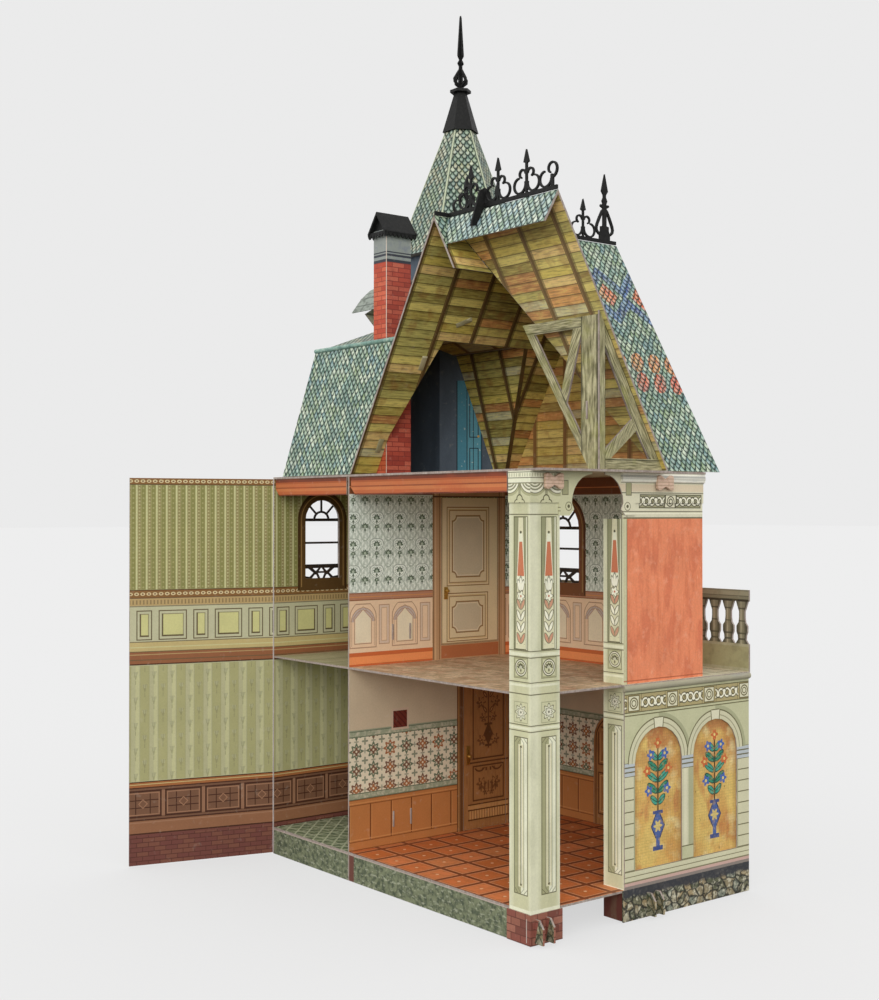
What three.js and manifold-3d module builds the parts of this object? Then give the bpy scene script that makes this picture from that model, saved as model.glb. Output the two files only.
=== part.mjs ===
// A cardboard dollhouse that stands open at its front and at its right corner.
// All sizes are millimetres. X runs along the front to the right, Y to the back, Z up.
// While the house is built, the right wall's outer face is X = 0, the open front is Y = 0
// and the table is Z = 0. At the end the whole group moves so that its origin lies under
// the middle of the house.
import * as THREE from "three";
import { mergeVertices } from "three/addons/utils/BufferGeometryUtils.js";
import { ConvexGeometry } from "three/addons/geometries/ConvexGeometry.js";
import Module from "manifold-3d";

const wasm = await Module();
wasm.setup();

// The card and its clearances
const board = 2; // thickness of walls, floors and roofs
const facing = 1.2; // thickness of a layer glued on a wall
const slit = 0.4; // gap where slanted or cut sheets meet
const leafGap = 0.5; // gap all round a door leaf
const reach = 1200; // longer than anything in the house, for cutting tools

// The plan
const houseWidth = 408; // left wall to right wall, outer faces
const leftRoomWidth = 142; // left wall's outer face to the partition's face in the hall
const leftRoomDepth = 204; // open front to the back wall's outer face
const hallDepth = 281; // the same for the hall on the ground floor
const upperHallDepth = 216; // and for the hall above it
const columnWidth = 27; // front leg of the folded corner column
const columnDepth = 33.5; // its side leg
const sideOpening = 77.5; // between the column and the right wall
const returnWidth = 25; // the right walls' folded front edge, a pilaster
const returnDrop = 41; // the upper pilaster's top, below the attic floor's underside

// Levels of the floors' tops
const groundLevel = 28;
const middleLevel = 210;
const atticLevel = 400;
const terraceLip = 3; // the middle floor's overhang along the right wall

// The roof
const ridgeHeight = 634; // both ridges
const pitch = Math.PI / 3; // of the main roof and the cross roof
const roofDepth = 236; // front edge to rear edge of the main roof
const crossSetback = 17; // the cross ridge's distance from the open front
const gableReach = 16; // the cross roof's end beyond the right wall
const frontLegHeight = 582; // below this the main roof's right slope is cut away at the front
const eaveLift = 0.4; // the sloping sheets' height above the attic floor

// The mansard over the left rooms
const mansardInset = 15; // from the left wall's outer face
const mansardSetback = 2; // from the open front
const mansardHeight = 132; // above the attic floor
const mansardSideLean = 24;
const mansardFrontLean = 26;
const mansardRearLean = 38;
const hipPitch = THREE.MathUtils.degToRad(25);

// The opening between the attic and the mansard
const hatchStart = 30.5; // its front edge at the floor
const hatchKnee = 38; // height up to which that edge is upright
const hatchTopStart = 58; // its front edge at the top
const hatchHeight = 129;
const hatchEndGap = 2; // behind the mansard's rear face

// The chimney
const chimneyWidth = 22;
const chimneyDepth = 30;
const chimneyFront = 31; // Y of its front face
const chimneyInset = 20; // its right face, to the right of the partition
const chimneyHeight = 244; // above the attic floor
const chimneyCapWidth = 30;
const chimneyCapDepth = 40;
const chimneyCapRise = 21;
const capLift = 3; // the cap's eaves reach this far below the chimney's top

// The six-sided tower, with two corners on the line of the left room's back wall
const towerRadius = 64;
const towerInset = 66; // its axis from the left wall's outer face
const spireBase = 645;
const spireBaseRadius = 72;
const spireTop = 788;
const spireTopRadius = 18;
const spireCapRadius = 20.5;
const spireCapHeight = 45;
const spireCapTopRadius = 7;
const finialHeight = 84; // the spear above the spire's cap

// The dormer beside the tower
const dormerFace = 10; // its front from the left wall's outer face
const dormerStart = 126;
const dormerWidth = 48;
const dormerSill = 470;
const dormerEave = 583;
const dormerDepth = 48;
const hoodOverhang = 26;
const hoodRise = 35;
const hoodProud = 8; // the hood in front of the dormer's face

// The front panel that swings on the left wall's front edge
const panelWidth = 152;
const panelLift = 1; // above the table
const panelGap = 0.3; // to the open front when it is closed
const panelOpenAngle = THREE.MathUtils.degToRad(105);

// Doors: each leaf's place, width, height, sill above the floor and share of its height
// at which its pull sits
const upperDoor = { start: 116, width: 77.5, sill: 14.5, height: 153, handle: 0.37 };
const lowerDoor = { start: 146, width: 58, sill: 0, height: 162, handle: 0.48 };
const entranceDoor = { start: 59, width: 60, sill: 0, height: 120, handle: 0.48 };
const knobRadius = 2.2;
const knobReach = 5;

// Windows: the openings' widths, heights, sills and places
const leftWindow = { start: 39.5, width: 44, sill: 81, height: 85 };
const hallWindow = { start: 51, width: 52, sill: 80, height: 82 };
const muntin = 2.2; // width of the bars in a window
const fanPanes = 4; // panes in a window's round head
const grilleHeight = 14; // of the ironwork at a window's foot
const latticeThickness = 1;
const latticeMargin = 2; // of the lattice around its opening

// Ornament
const baluster = { count: 16, base: 26, rail: 11, height: 78 };
// Half of the gap between two balusters, as shares of their pitch and of the gap's height
const balusterGap = [
  [0.05, 0],
  [0.22, 0.1],
  [0.2, 0.2],
  [0.11, 0.28],
  [0.11, 0.42],
  [0.26, 0.5],
  [0.3, 0.62],
  [0.3, 0.76],
  [0.2, 0.86],
  [0.12, 0.95],
  [0.08, 1],
];
const friezeHeight = 27; // the band below the attic floor
const bracketDrop = 38; // from the attic floor to the foot of a bracket's scroll
const bracketReach = 38; // of the column's bracket along the opening
const wallBracketReach = 24; // of the right wall's bracket
const bracketThroat = 18; // from a bracket's root to its scroll's end
const wallBracketRoot = 12; // the right wall's bracket starts this far behind the fold
const corniceSize = 9; // height of the half-round cornice on the right wall
const corniceProud = 3;
const frontBandHeight = 18; // the strips that hang below the attic floor in front
const frontBandInset = 3; // their ends from the walls
const frontBandCorner = 7;
const footSpread = 2; // the column's foot beyond the column
const tabReach = 10;
const tabHeight = 22;
const footTab = 3.5; // Y of the first of two tabs on the column's foot
const footTabPitch = 12.5;
const baseTab = 139; // Y of the first of two tabs on the stone base
const baseTabPitch = 11;
const archPier = 13; // width of the arcade's first pier
const archMiddle = 15.5; // and of its column between the niches
const archWidth = 62;
const archFoot = 15.5; // the arcade's foot to the niches' sill
const archSpring = 94.5; // from there to the arches' springing

// Trusses under the cross roof
const trussSetback = 70; // Y of the frame that stands across the house
const trussInset = 4.5; // the other frame's outer face, from the cross roof's end
const timber = 10;
const trussWidth = 97.5;
const postWidth = 21;

// Ironwork on the ridges
const iron = 2;
const spearPitch = 37.5;
const spearHeight = 41;
const spearHead = { height: 12, half: 3.4 };
const tallSpearHeight = 70;
const lyreHalf = 13; // half of the tall spear's width at its lyre
const ironBase = 3.5;
const ridgeEnd = 16; // the tall spear to the end of the ironwork
const tallBay = 30; // from the tall spear to the next one
const endPost = 5.5; // the cross ironwork's last post to its end
const endBay = 38.4; // its end to its first spear
// Curls: radius at the start, share of it lost to the end, and turns
const shoulderCurl = { radius: 5.4, loss: 0.3, turns: 0.7, rise: 20 };
const waveCurl = { radius: 9.4, loss: 0.3, turns: 0.78, lead: Math.PI / 12 };
const endCurl = { radius: 8.5, loss: 0.5, turns: 0.92, rise: 18.2 };
// The tall spear's right half and its lyre's arm, as shares of lyreHalf and of its height
const tallOutline = [
  [0.56, 0],
  [0.56, 0.12],
  [0.43, 0.18],
  [0.43, 0.24],
  [0.18, 0.25],
  [0.18, 0.5],
  [0.48, 0.53],
  [0.44, 0.555],
  [0.15, 0.555],
  [0.27, 0.61],
  [0.12, 0.665],
  [0.14, 0.7],
  [0.34, 0.75],
];
const lyreArm = [
  [0.1, 0.51],
  [0.35, 0.47],
  [0.65, 0.37],
  [0.92, 0.265],
  [1, 0.205],
  [0.92, 0.155],
  [0.65, 0.115],
  [0.5, 0.11],
  [0.5, 0.15],
  [0.66, 0.157],
  [0.78, 0.185],
  [0.78, 0.22],
  [0.69, 0.265],
  [0.46, 0.35],
  [0.24, 0.43],
  [0.1, 0.45],
];

// Places that follow from the sizes above
const xLeft = -houseWidth;
const xHall = xLeft + leftRoomWidth;
const xRoom = xHall - board;
const yWall = columnDepth + sideOpening;
const slope = Math.tan(pitch);
const ridgeX = xHall + (ridgeHeight - atticLevel) / slope;
const mansardTop = atticLevel + mansardHeight;
const towerX = xLeft + towerInset;
const towerY = leftRoomDepth;
const ceiling = atticLevel - board;
const middleUnder = middleLevel - board;
const groundUnder = groundLevel - board;

// Materials
const finish = (color, roughness = 0.85, metalness = 0) =>
  new THREE.MeshStandardMaterial({ color, roughness, metalness });
const colours = {
  plaster: 0xd9d4bd,
  green: 0x9aa37a,
  coral: 0xd9694a,
  stone: 0x8d8f80,
  wood: 0x8a5a36,
  floor: 0xb4552f,
  plank: 0x9c8a45,
  tile: 0x6f9a8b,
  brick: 0xa8443a,
  black: 0x20201f,
  navy: 0x2c3a46,
  door: 0xcbb995,
  brass: 0xb08a3c,
};

// Outlines, sheets and cutting tools
const house = new THREE.Group();

function outline(points) {
  return new THREE.Shape(points.map(([u, v]) => new THREE.Vector2(u, v)));
}

function pierced(shape, ...holes) {
  shape.holes.push(...holes);
  return shape;
}

function rectangle(u0, v0, u1, v1) {
  return outline([[u0, v0], [u1, v0], [u1, v1], [u0, v1]]);
}

// An upright opening with a round head
function roundHeaded(u0, v0, width, height, steps = 10) {
  const radius = width / 2;
  const spring = v0 + height - radius;
  const points = [[u0, v0], [u0 + width, v0]];
  for (let i = 0; i <= steps; i++) {
    const angle = (Math.PI * i) / steps;
    points.push([u0 + radius + radius * Math.cos(angle), spring + radius * Math.sin(angle)]);
  }
  return outline(points);
}

// A shape drawn in the plane square to an axis, made a sheet that starts at "from" on it.
// Shapes square to X are drawn in Y and Z, those square to Y in X and Z.
function extrude(axis, points, from, thickness) {
  const geometry = new THREE.ExtrudeGeometry(new THREE.Shape(points), {
    depth: thickness,
    bevelEnabled: false,
  });
  const x = new THREE.Vector3(1, 0, 0);
  const y = new THREE.Vector3(0, 1, 0);
  const z = new THREE.Vector3(0, 0, 1);
  if (axis === "x") {
    geometry.applyMatrix4(new THREE.Matrix4().makeBasis(y, z, x));
    return geometry.translate(from, 0, 0);
  }
  if (axis === "y") {
    geometry.applyMatrix4(new THREE.Matrix4().makeBasis(x, z, y.clone().negate()));
    return geometry.translate(0, from + thickness, 0);
  }
  return geometry.translate(0, 0, from);
}

function sheet(axis, shape, from, thickness = board) {
  const whole = extrude(axis, shape.getPoints(), from, thickness);
  const tools = shape.holes.map((hole) =>
    extrude(axis, hole.getPoints(), from - board, thickness + 2 * board),
  );
  return tools.length ? cut(whole, ...tools) : whole;
}

function block(x0, y0, z0, x1, y1, z1) {
  const geometry = new THREE.BoxGeometry(x1 - x0, y1 - y0, z1 - z0);
  return geometry.translate((x0 + x1) / 2, (y0 + y1) / 2, (z0 + z1) / 2);
}

function hull(points) {
  return new ConvexGeometry(points.map((p) => new THREE.Vector3(...p)));
}

// Everything on the side of a plane that its normal points to
function beyond(point, normal) {
  const geometry = new THREE.BoxGeometry(2 * reach, 2 * reach, reach);
  geometry.translate(0, 0, reach / 2);
  const turn = new THREE.Quaternion().setFromUnitVectors(
    new THREE.Vector3(0, 0, 1),
    new THREE.Vector3(...normal).normalize(),
  );
  return geometry.applyQuaternion(turn).translate(...point);
}

function toSolid(geometry) {
  const bare = geometry.clone();
  bare.deleteAttribute("normal");
  bare.deleteAttribute("uv");
  const merged = mergeVertices(bare, 1e-4);
  return new wasm.Manifold(
    new wasm.Mesh({
      numProp: 3,
      vertProperties: new Float32Array(merged.attributes.position.array),
      triVerts: new Uint32Array(merged.index.array),
    }),
  );
}

function toGeometry(solid) {
  const mesh = solid.getMesh();
  const geometry = new THREE.BufferGeometry();
  geometry.setAttribute("position", new THREE.BufferAttribute(mesh.vertProperties, 3));
  geometry.setIndex(new THREE.BufferAttribute(mesh.triVerts, 1));
  return geometry;
}

function cut(geometry, ...tools) {
  return toGeometry(tools.reduce((rest, tool) => rest.subtract(toSolid(tool)), toSolid(geometry)));
}

function join(...geometries) {
  return toGeometry(geometries.map(toSolid).reduce((whole, piece) => whole.add(piece)));
}

function add(name, geometry, material, parent = house) {
  const mesh = new THREE.Mesh(geometry, material);
  mesh.name = name;
  parent.add(mesh);
  return mesh;
}

// Walls
function doorway(door, level) {
  return rectangle(
    door.start - leafGap,
    level + door.sill + leafGap,
    door.start + door.width + leafGap,
    level + door.sill + 2 * leafGap + door.height,
  );
}

function addWalls() {
  const wall = finish(colours.plaster);
  const window = roundHeaded(
    leftWindow.start,
    middleLevel + leftWindow.sill,
    leftWindow.width,
    leftWindow.height,
  );
  const leftWall = pierced(rectangle(0, 0, leftRoomDepth, ceiling), window);
  add("left_wall", sheet("x", leftWall, xLeft), finish(colours.green));

  const partition = outline([
    [0, 0],
    [hallDepth, 0],
    [hallDepth, middleUnder],
    [upperHallDepth, middleUnder],
    [upperHallDepth, ceiling],
    [0, ceiling],
  ]);
  pierced(partition, doorway(upperDoor, middleLevel), doorway(lowerDoor, groundLevel));
  add("partition_wall", sheet("x", partition, xRoom), wall);

  const leftBack = rectangle(xLeft + board, 0, xRoom, ceiling);
  add("left_back_wall", sheet("y", leftBack, leftRoomDepth - board), wall);

  const hallWindowX = xHall + hallWindow.start;
  const upperBack = pierced(
    rectangle(xHall, middleLevel, -board, ceiling),
    roundHeaded(hallWindowX, middleLevel + hallWindow.sill, hallWindow.width, hallWindow.height),
  );
  add("hall_back_wall_upper", sheet("y", upperBack, upperHallDepth - board), wall);

  const entranceX = xHall + entranceDoor.start;
  const lowerBack = pierced(
    rectangle(xHall, 0, -board, middleUnder),
    roundHeaded(
      entranceX - leafGap,
      groundLevel + leafGap,
      entranceDoor.width + 2 * leafGap,
      entranceDoor.height + leafGap,
    ),
  );
  add("hall_back_wall_lower", sheet("y", lowerBack, hallDepth - board), wall);

  // The right walls fold back at the side opening into a narrow pilaster
  const folded = (depth) =>
    outline([
      [-returnWidth, yWall],
      [0, yWall],
      [0, depth],
      [-board, depth],
      [-board, yWall + board],
      [-returnWidth, yWall + board],
    ]);
  add("right_wall_lower", sheet("z", folded(hallDepth), 0, middleUnder), finish(colours.plaster));
  const upper = sheet("z", folded(upperHallDepth), middleLevel, ceiling - middleLevel);
  const aboveReturn = block(
    -returnWidth - board,
    yWall - board,
    ceiling - returnDrop,
    -board,
    yWall + 2 * board,
    ceiling + board,
  );
  add("right_wall_upper", cut(upper, aboveReturn), finish(colours.coral));
}

// The arcade, the stone base and their tabs on the right wall
function tabs(first, pitchY, from) {
  const hook = outline([
    [from, tabHeight],
    [from + tabReach * 0.5, tabHeight],
    [from + tabReach, tabHeight * 0.7],
    [from + tabReach, board],
    [from, board],
  ]);
  return [first, first + pitchY].map((y) => sheet("y", hook, y));
}

function addRightFacing() {
  const arch = (start) =>
    roundHeaded(start, groundLevel + archFoot, archWidth, archSpring + archWidth / 2);
  const through = (start) => sheet("x", arch(start), -board, 2 * board + facing);
  const arcade = cut(
    block(0, yWall, groundLevel, facing, hallDepth, middleUnder),
    through(yWall + archPier),
    through(yWall + archPier + archWidth + archMiddle),
  );
  add("arcade_front", arcade, finish(colours.plaster));

  const base = block(0, yWall - footSpread, 0, facing, hallDepth, groundLevel);
  const baseTabs = tabs(baseTab, baseTabPitch, facing);
  add("stone_base_right", join(base, ...baseTabs), finish(colours.stone));
}

// The folded corner column with its foot and its capital
function foldedColumn(from, to) {
  const plan = outline([
    [-columnWidth, 0],
    [0, 0],
    [0, columnDepth],
    [-board, columnDepth],
    [-board, board],
    [-columnWidth, board],
  ]);
  return sheet("z", plan, from, to - from);
}

function bracket(yStart, yEnd, top) {
  // A flat bracket between two places along the wall: round under its arm, with a scroll
  const throat = bracketThroat;
  const shape = new THREE.Shape();
  const side = Math.sign(yEnd - yStart);
  const arm = Math.abs(yEnd - yStart) - throat;
  const scroll = throat * 0.6;
  shape.moveTo(yStart, top - bracketDrop);
  shape.lineTo(yStart + side * (throat - scroll / 2), top - bracketDrop);
  shape.lineTo(yStart + side * throat, top - bracketDrop + scroll / 2);
  shape.lineTo(yStart + side * (throat - scroll / 4), top - bracketDrop + scroll);
  for (let i = 1; i <= 6; i++) {
    const angle = (i / 6) * (Math.PI / 2);
    const drop = (bracketDrop - scroll - board) * (1 - Math.sin(angle));
    shape.lineTo(
      yStart + side * (throat - scroll / 4 + (arm + scroll / 4) * (1 - Math.cos(angle))),
      top - board - drop,
    );
  }
  shape.lineTo(yEnd, top);
  shape.lineTo(yStart, top);
  return shape;
}

function addColumn() {
  const cream = finish(colours.plaster);
  add("corner_column_lower", foldedColumn(0, middleLevel - board / 2), cream);
  add("corner_column_upper", foldedColumn(middleLevel - board / 2, ceiling), cream);

  const wrap = (spread, from, to) => {
    const plan = outline([
      [-columnWidth - spread, -facing],
      [facing, -facing],
      [facing, columnDepth + spread],
      [0, columnDepth + spread],
      [0, 0],
      [-columnWidth - spread, 0],
    ]);
    return sheet("z", plan, from, to - from);
  };
  const foot = join(
    wrap(footSpread, 0, groundUnder),
    ...tabs(footTab, footTabPitch, facing),
  );
  add("column_foot", foot, finish(colours.brick));

  const scrolls = bracket(columnDepth - board, columnDepth + bracketReach, ceiling);
  const capital = join(
    wrap(0, ceiling - friezeHeight, ceiling),
    sheet("x", scrolls, 0, facing),
  );
  add("column_capital", capital, cream);

  const wallScroll = bracket(yWall + board + wallBracketRoot, yWall - wallBracketReach, ceiling);
  const band = rectangle(yWall + board, ceiling - friezeHeight, upperHallDepth, ceiling);
  add("frieze_right", join(sheet("x", band, 0, facing), sheet("x", wallScroll, 0, facing)), cream);

  const half = corniceSize / 2;
  const profile = outline([
    [facing, ceiling],
    [facing, ceiling - corniceSize],
    [facing + corniceProud * 0.7, ceiling - corniceSize + half * 0.3],
    [facing + corniceProud, ceiling - half],
    [facing + corniceProud * 0.7, ceiling],
  ]);
  const cornice = sheet("y", profile, yWall - half, upperHallDepth - yWall + half);
  add("cornice_right", cornice, cream);
}

// Floors and plinths
function addFloors() {
  const hallFront = [
    [xHall, 0],
    [-columnWidth, 0],
    [-columnWidth, board],
    [-board, board],
    [-board, columnDepth],
    [0, columnDepth],
  ];
  const hallFloor = outline([
    ...hallFront,
    [0, yWall],
    [-returnWidth, yWall],
    [-returnWidth, yWall + board],
    [-board, yWall + board],
    [-board, hallDepth - board],
    [xHall, hallDepth - board],
  ]);
  add("hall_ground_floor", sheet("z", hallFloor, groundUnder), finish(colours.floor));
  const middleFloor = outline([
    ...hallFront,
    [0, yWall - terraceLip],
    [terraceLip, yWall - terraceLip],
    [terraceLip, hallDepth],
    [xRoom, hallDepth],
    [xRoom, upperHallDepth],
    [xHall, upperHallDepth],
  ]);
  add("hall_middle_floor", sheet("z", middleFloor, middleUnder), finish(colours.wood));

  const roomPlan = rectangle(xLeft + board, 0, xRoom, leftRoomDepth - board);
  add("left_ground_floor", sheet("z", roomPlan, groundUnder), finish(colours.stone));
  add("left_middle_floor", sheet("z", roomPlan, middleUnder), finish(colours.wood));

  const xEave = gableReach;
  const xCornice = facing + corniceProud;
  const crossFoot = crossSetback + (ridgeHeight - atticLevel) / slope + 2 * board;
  const halfSide = towerRadius / 2;
  const towerBack = towerY + towerRadius * Math.sin(pitch);
  const atticFloor = outline([
    [xLeft, 0],
    [xEave, 0],
    [xEave, crossFoot],
    [xCornice, crossFoot],
    [xCornice, upperHallDepth],
    [xRoom, upperHallDepth],
    [xRoom, leftRoomDepth],
    [towerX + towerRadius, towerY],
    [towerX + halfSide, towerBack],
    [towerX - halfSide, towerBack],
    [towerX - towerRadius, towerY],
    [xLeft, towerY],
  ]);
  add("attic_floor", sheet("z", atticFloor, ceiling), finish(colours.wood));

  const hung = (from, to) => {
    const low = ceiling - frontBandHeight;
    const band = outline([
      [from + frontBandInset, ceiling],
      [from + frontBandInset, low + frontBandCorner],
      [from + frontBandInset + frontBandCorner, low],
      [to - frontBandInset, low],
      [to - frontBandInset, ceiling],
    ]);
    return sheet("y", band, 0, facing);
  };
  const coral = finish(colours.coral);
  add("front_band_hall", hung(xHall, -columnWidth), coral);
  add("front_band_left", hung(xLeft + board, xRoom), coral);

  const stone = finish(colours.stone);
  const hallPlinth = block(xHall, 0, 0, -columnWidth, board, groundUnder);
  add("front_plinth_hall", hallPlinth, stone);
  const roomPlinth = block(xLeft + board, 0, 0, xRoom, board, groundUnder);
  add("front_plinth_left", roomPlinth, stone);
}

// Terrace balustrades, cut from flat card. An open end follows half a gap.
function balustrade(start, end, count, openEnd) {
  const shape = rectangle(start, middleLevel, end, middleLevel + baluster.height);
  const step = (end - start) / count;
  const low = middleLevel + baluster.base;
  const high = middleLevel + baluster.height - baluster.rail;
  const shift = openEnd ? 1 : 0.5;
  for (let i = 0; i < count; i++) {
    const middle = start + (i + shift) * step;
    const side = balusterGap.map(([u, v]) => [u * step, low + (high - low) * v]);
    const right = side.map(([u, v]) => [middle + u, v]);
    const left = side.map(([u, v]) => [middle - u, v]).reverse();
    shape.holes.push(outline([...right, ...left]));
  }
  return shape;
}

function addBalustrades() {
  const stone = finish(colours.plaster);
  const rear = balustrade(xHall, terraceLip, baluster.count, true);
  add("balustrade_rear", sheet("y", rear, hallDepth - board), stone);
  const sideCount = Math.round(
    (baluster.count * (hallDepth - board - upperHallDepth)) / -xHall,
  );
  const side = balustrade(upperHallDepth, hallDepth - board, sideCount, false);
  add("balustrade_left", sheet("x", side, xRoom), stone);
}

// Windows: a thin lattice glued over each opening, with a fan in its round head, a bar
// across its middle and a low grille at its foot
function lattice(start, sill, window) {
  const { width, height } = window;
  const m = latticeMargin;
  const shape = roundHeaded(start - m, sill - m, width + 2 * m, height + 2 * m);
  const radius = width / 2;
  const middle = start + radius;
  const spring = sill + height - radius;
  const half = muntin / 2;
  const grilleTop = sill + grilleHeight;
  const bar = (grilleTop + spring) / 2;
  const right = start + width;
  shape.holes.push(rectangle(start, grilleTop + half, right, bar - half));
  shape.holes.push(rectangle(start, bar + half, right, spring - half));
  addGrille(shape, start, sill, width);

  const hub = radius * 0.42;
  const arc = (r, from, to, steps) =>
    Array.from({ length: steps + 1 }, (_, i) => {
      const lead = half / r;
      const a = from + lead + ((to - from - 2 * lead) * i) / steps;
      return [middle + r * Math.cos(a), spring + half + (r - half) * Math.sin(a)];
    });
  for (let k = 0; k < fanPanes; k++) {
    const from = (k * Math.PI) / fanPanes;
    const to = ((k + 1) * Math.PI) / fanPanes;
    shape.holes.push(outline([...arc(radius, from, to, 3), ...arc(hub + half, from, to, 3).reverse()]));
  }
  shape.holes.push(outline(arc(hub - half, 0, Math.PI, 6)));
  return shape;
}

// The gaps between the grille's scrolls
function addGrille(shape, start, sill, width) {
  const high = sill + grilleHeight - muntin / 2;
  const at = (share) => start + width * share;
  const up = (share) => sill + (high - sill) * share;
  const mirrored = (points) => points.map(([u, v]) => [1 - u, v]).reverse();
  const side = [[0, 0.2], [0.16, 0.12], [0.27, 0.45], [0.12, 0.82], [0, 0.82]];
  const corner = [[0.22, 0], [0.4, 0], [0.36, 0.28], [0.3, 0.3]];
  const shoulder = [[0.34, 0.58], [0.42, 0.84], [0.24, 0.84]];
  const centre = [[0.46, 0], [0.54, 0], [0.6, 0.42], [0.4, 0.42]];
  const crown = [[0.42, 0.58], [0.58, 0.58], [0.52, 0.84], [0.48, 0.84]];
  for (const gap of [side, corner, shoulder, mirrored(side), mirrored(corner), mirrored(shoulder)])
    shape.holes.push(outline(gap.map(([u, v]) => [at(u), up(v)])));
  for (const gap of [centre, crown]) shape.holes.push(outline(gap.map(([u, v]) => [at(u), up(v)])));
}

function addLattices() {
  const frame = finish(colours.black);
  const left = lattice(leftWindow.start, middleLevel + leftWindow.sill, leftWindow);
  add("left_window_lattice", sheet("x", left, xLeft - latticeThickness, latticeThickness), frame);
  const hall = lattice(xHall + hallWindow.start, middleLevel + hallWindow.sill, hallWindow);
  add("hall_window_lattice", sheet("y", hall, upperHallDepth, latticeThickness), frame);
}

// The front panel, shown open; its hinge is a crease at the left wall's front edge
function addFrontPanel() {
  const hinge = new THREE.Group();
  hinge.position.set(xLeft, -panelGap, 0);
  hinge.rotation.z = -panelOpenAngle;
  house.add(hinge);
  const panel = block(0, -board, panelLift, panelWidth, 0, ceiling);
  add("front_wall_panel", panel, finish(colours.green), hinge);
}

// Doors: card leaves that swing on creases, each with a round pull
function knob(x, y, z, direction) {
  const profile = [
    [0, 0],
    [knobRadius * 0.5, 0],
    [knobRadius * 0.5, knobReach * 0.4],
    [knobRadius, knobReach * 0.65],
    [knobRadius * 0.6, knobReach],
    [0, knobReach],
  ].map(([r, h]) => new THREE.Vector2(r, h));
  const geometry = new THREE.LatheGeometry(profile, 8);
  const turn = new THREE.Quaternion().setFromUnitVectors(
    new THREE.Vector3(0, 1, 0),
    new THREE.Vector3(...direction),
  );
  return geometry.applyQuaternion(turn).translate(x, y, z);
}

function addDoors() {
  const brass = finish(colours.brass, 0.35, 0.8);
  const handleInset = 6;
  const partitionDoor = (name, door, level, material) => {
    const foot = level + door.sill + 1.5 * leafGap;
    const leaf = rectangle(door.start, foot, door.start + door.width, foot + door.height - leafGap);
    add(name + "_leaf", sheet("x", leaf, xRoom), material);
    const z = level + door.sill + door.height * door.handle;
    add(name + "_knob", knob(xHall, door.start + handleInset, z, [1, 0, 0]), brass);
  };
  partitionDoor("upper_door", upperDoor, middleLevel, finish(colours.door));
  partitionDoor("lower_door", lowerDoor, groundLevel, finish(colours.wood));

  const x = xHall + entranceDoor.start;
  const foot = groundLevel + 1.5 * leafGap;
  const leaf = roundHeaded(x, foot, entranceDoor.width, entranceDoor.height - leafGap);
  const entrance = sheet("y", leaf, hallDepth - board);
  add("entrance_door_leaf", entrance, finish(colours.wood));
  const z = groundLevel + entranceDoor.height * entranceDoor.handle;
  add("entrance_door_knob", knob(x + handleInset, hallDepth, z, [0, 1, 0]), brass);
}

// The tower, its spire and the ironwork on top
function hexagon(radius) {
  return Array.from({ length: 6 }, (_, i) => [
    towerX + radius * Math.cos((i * Math.PI) / 3),
    towerY + radius * Math.sin((i * Math.PI) / 3),
  ]);
}

function towerPrism(grow, from, to) {
  return sheet("z", outline(hexagon(towerRadius + grow / Math.cos(pitch / 2))), from, to - from);
}

function sixSided(profile) {
  const points = profile.map(([r, h]) => new THREE.Vector2(r, h));
  const geometry = new THREE.LatheGeometry(points, 6, Math.PI / 2);
  geometry.rotateX(Math.PI / 2);
  return geometry.translate(towerX, towerY, 0);
}

function addTower() {
  const inner = towerRadius - board / Math.cos(pitch / 2);
  const behind = (radius) => hexagon(radius).slice(0, 4);
  const bay = outline([...behind(towerRadius), ...behind(inner).reverse()]);
  add("tower_bay_lower", sheet("z", bay, 0, ceiling), finish(colours.plaster));

  const ring = pierced(outline(hexagon(towerRadius)), outline(hexagon(inner)));
  const foot = atticLevel + eaveLift;
  add("tower_wall_upper", sheet("z", ring, foot, spireBase - foot), finish(colours.navy));

  const edge = board / Math.cos(Math.atan2(spireBaseRadius - spireTopRadius, spireTop - spireBase));
  const flare = 5;
  const spire = sixSided([
    [spireBaseRadius + flare, spireBase + eaveLift],
    [spireBaseRadius - flare / 2, spireBase + 2 * flare],
    [spireTopRadius, spireTop],
    [spireTopRadius - edge, spireTop],
    [spireBaseRadius - flare / 2 - edge, spireBase + 2 * flare],
    [towerRadius - board, spireBase + eaveLift],
    [spireBaseRadius + flare, spireBase + eaveLift],
  ]);
  add("spire", spire, finish(colours.tile));

  const black = finish(colours.black);
  const capTop = spireTop + slit + spireCapHeight;
  const disc = 12;
  const discHeight = 3;
  const cap = sixSided([
    [0, spireTop + slit],
    [spireCapRadius, spireTop + slit],
    [spireCapTopRadius, capTop],
    [disc, capTop],
    [disc, capTop + discHeight],
    [0, capTop + discHeight],
  ]);
  add("spire_cap", cap, black);

  const finialFoot = capTop + discHeight;
  const flat = finialOutline(finialFoot, finialHeight);
  const across = sheet("y", flat, -iron / 2, iron).translate(towerX, towerY, 0);
  const along = sheet("x", flat, -iron / 2, iron).translate(towerX, towerY, 0);
  add("spire_finial", join(across, along), black);
}

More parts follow.
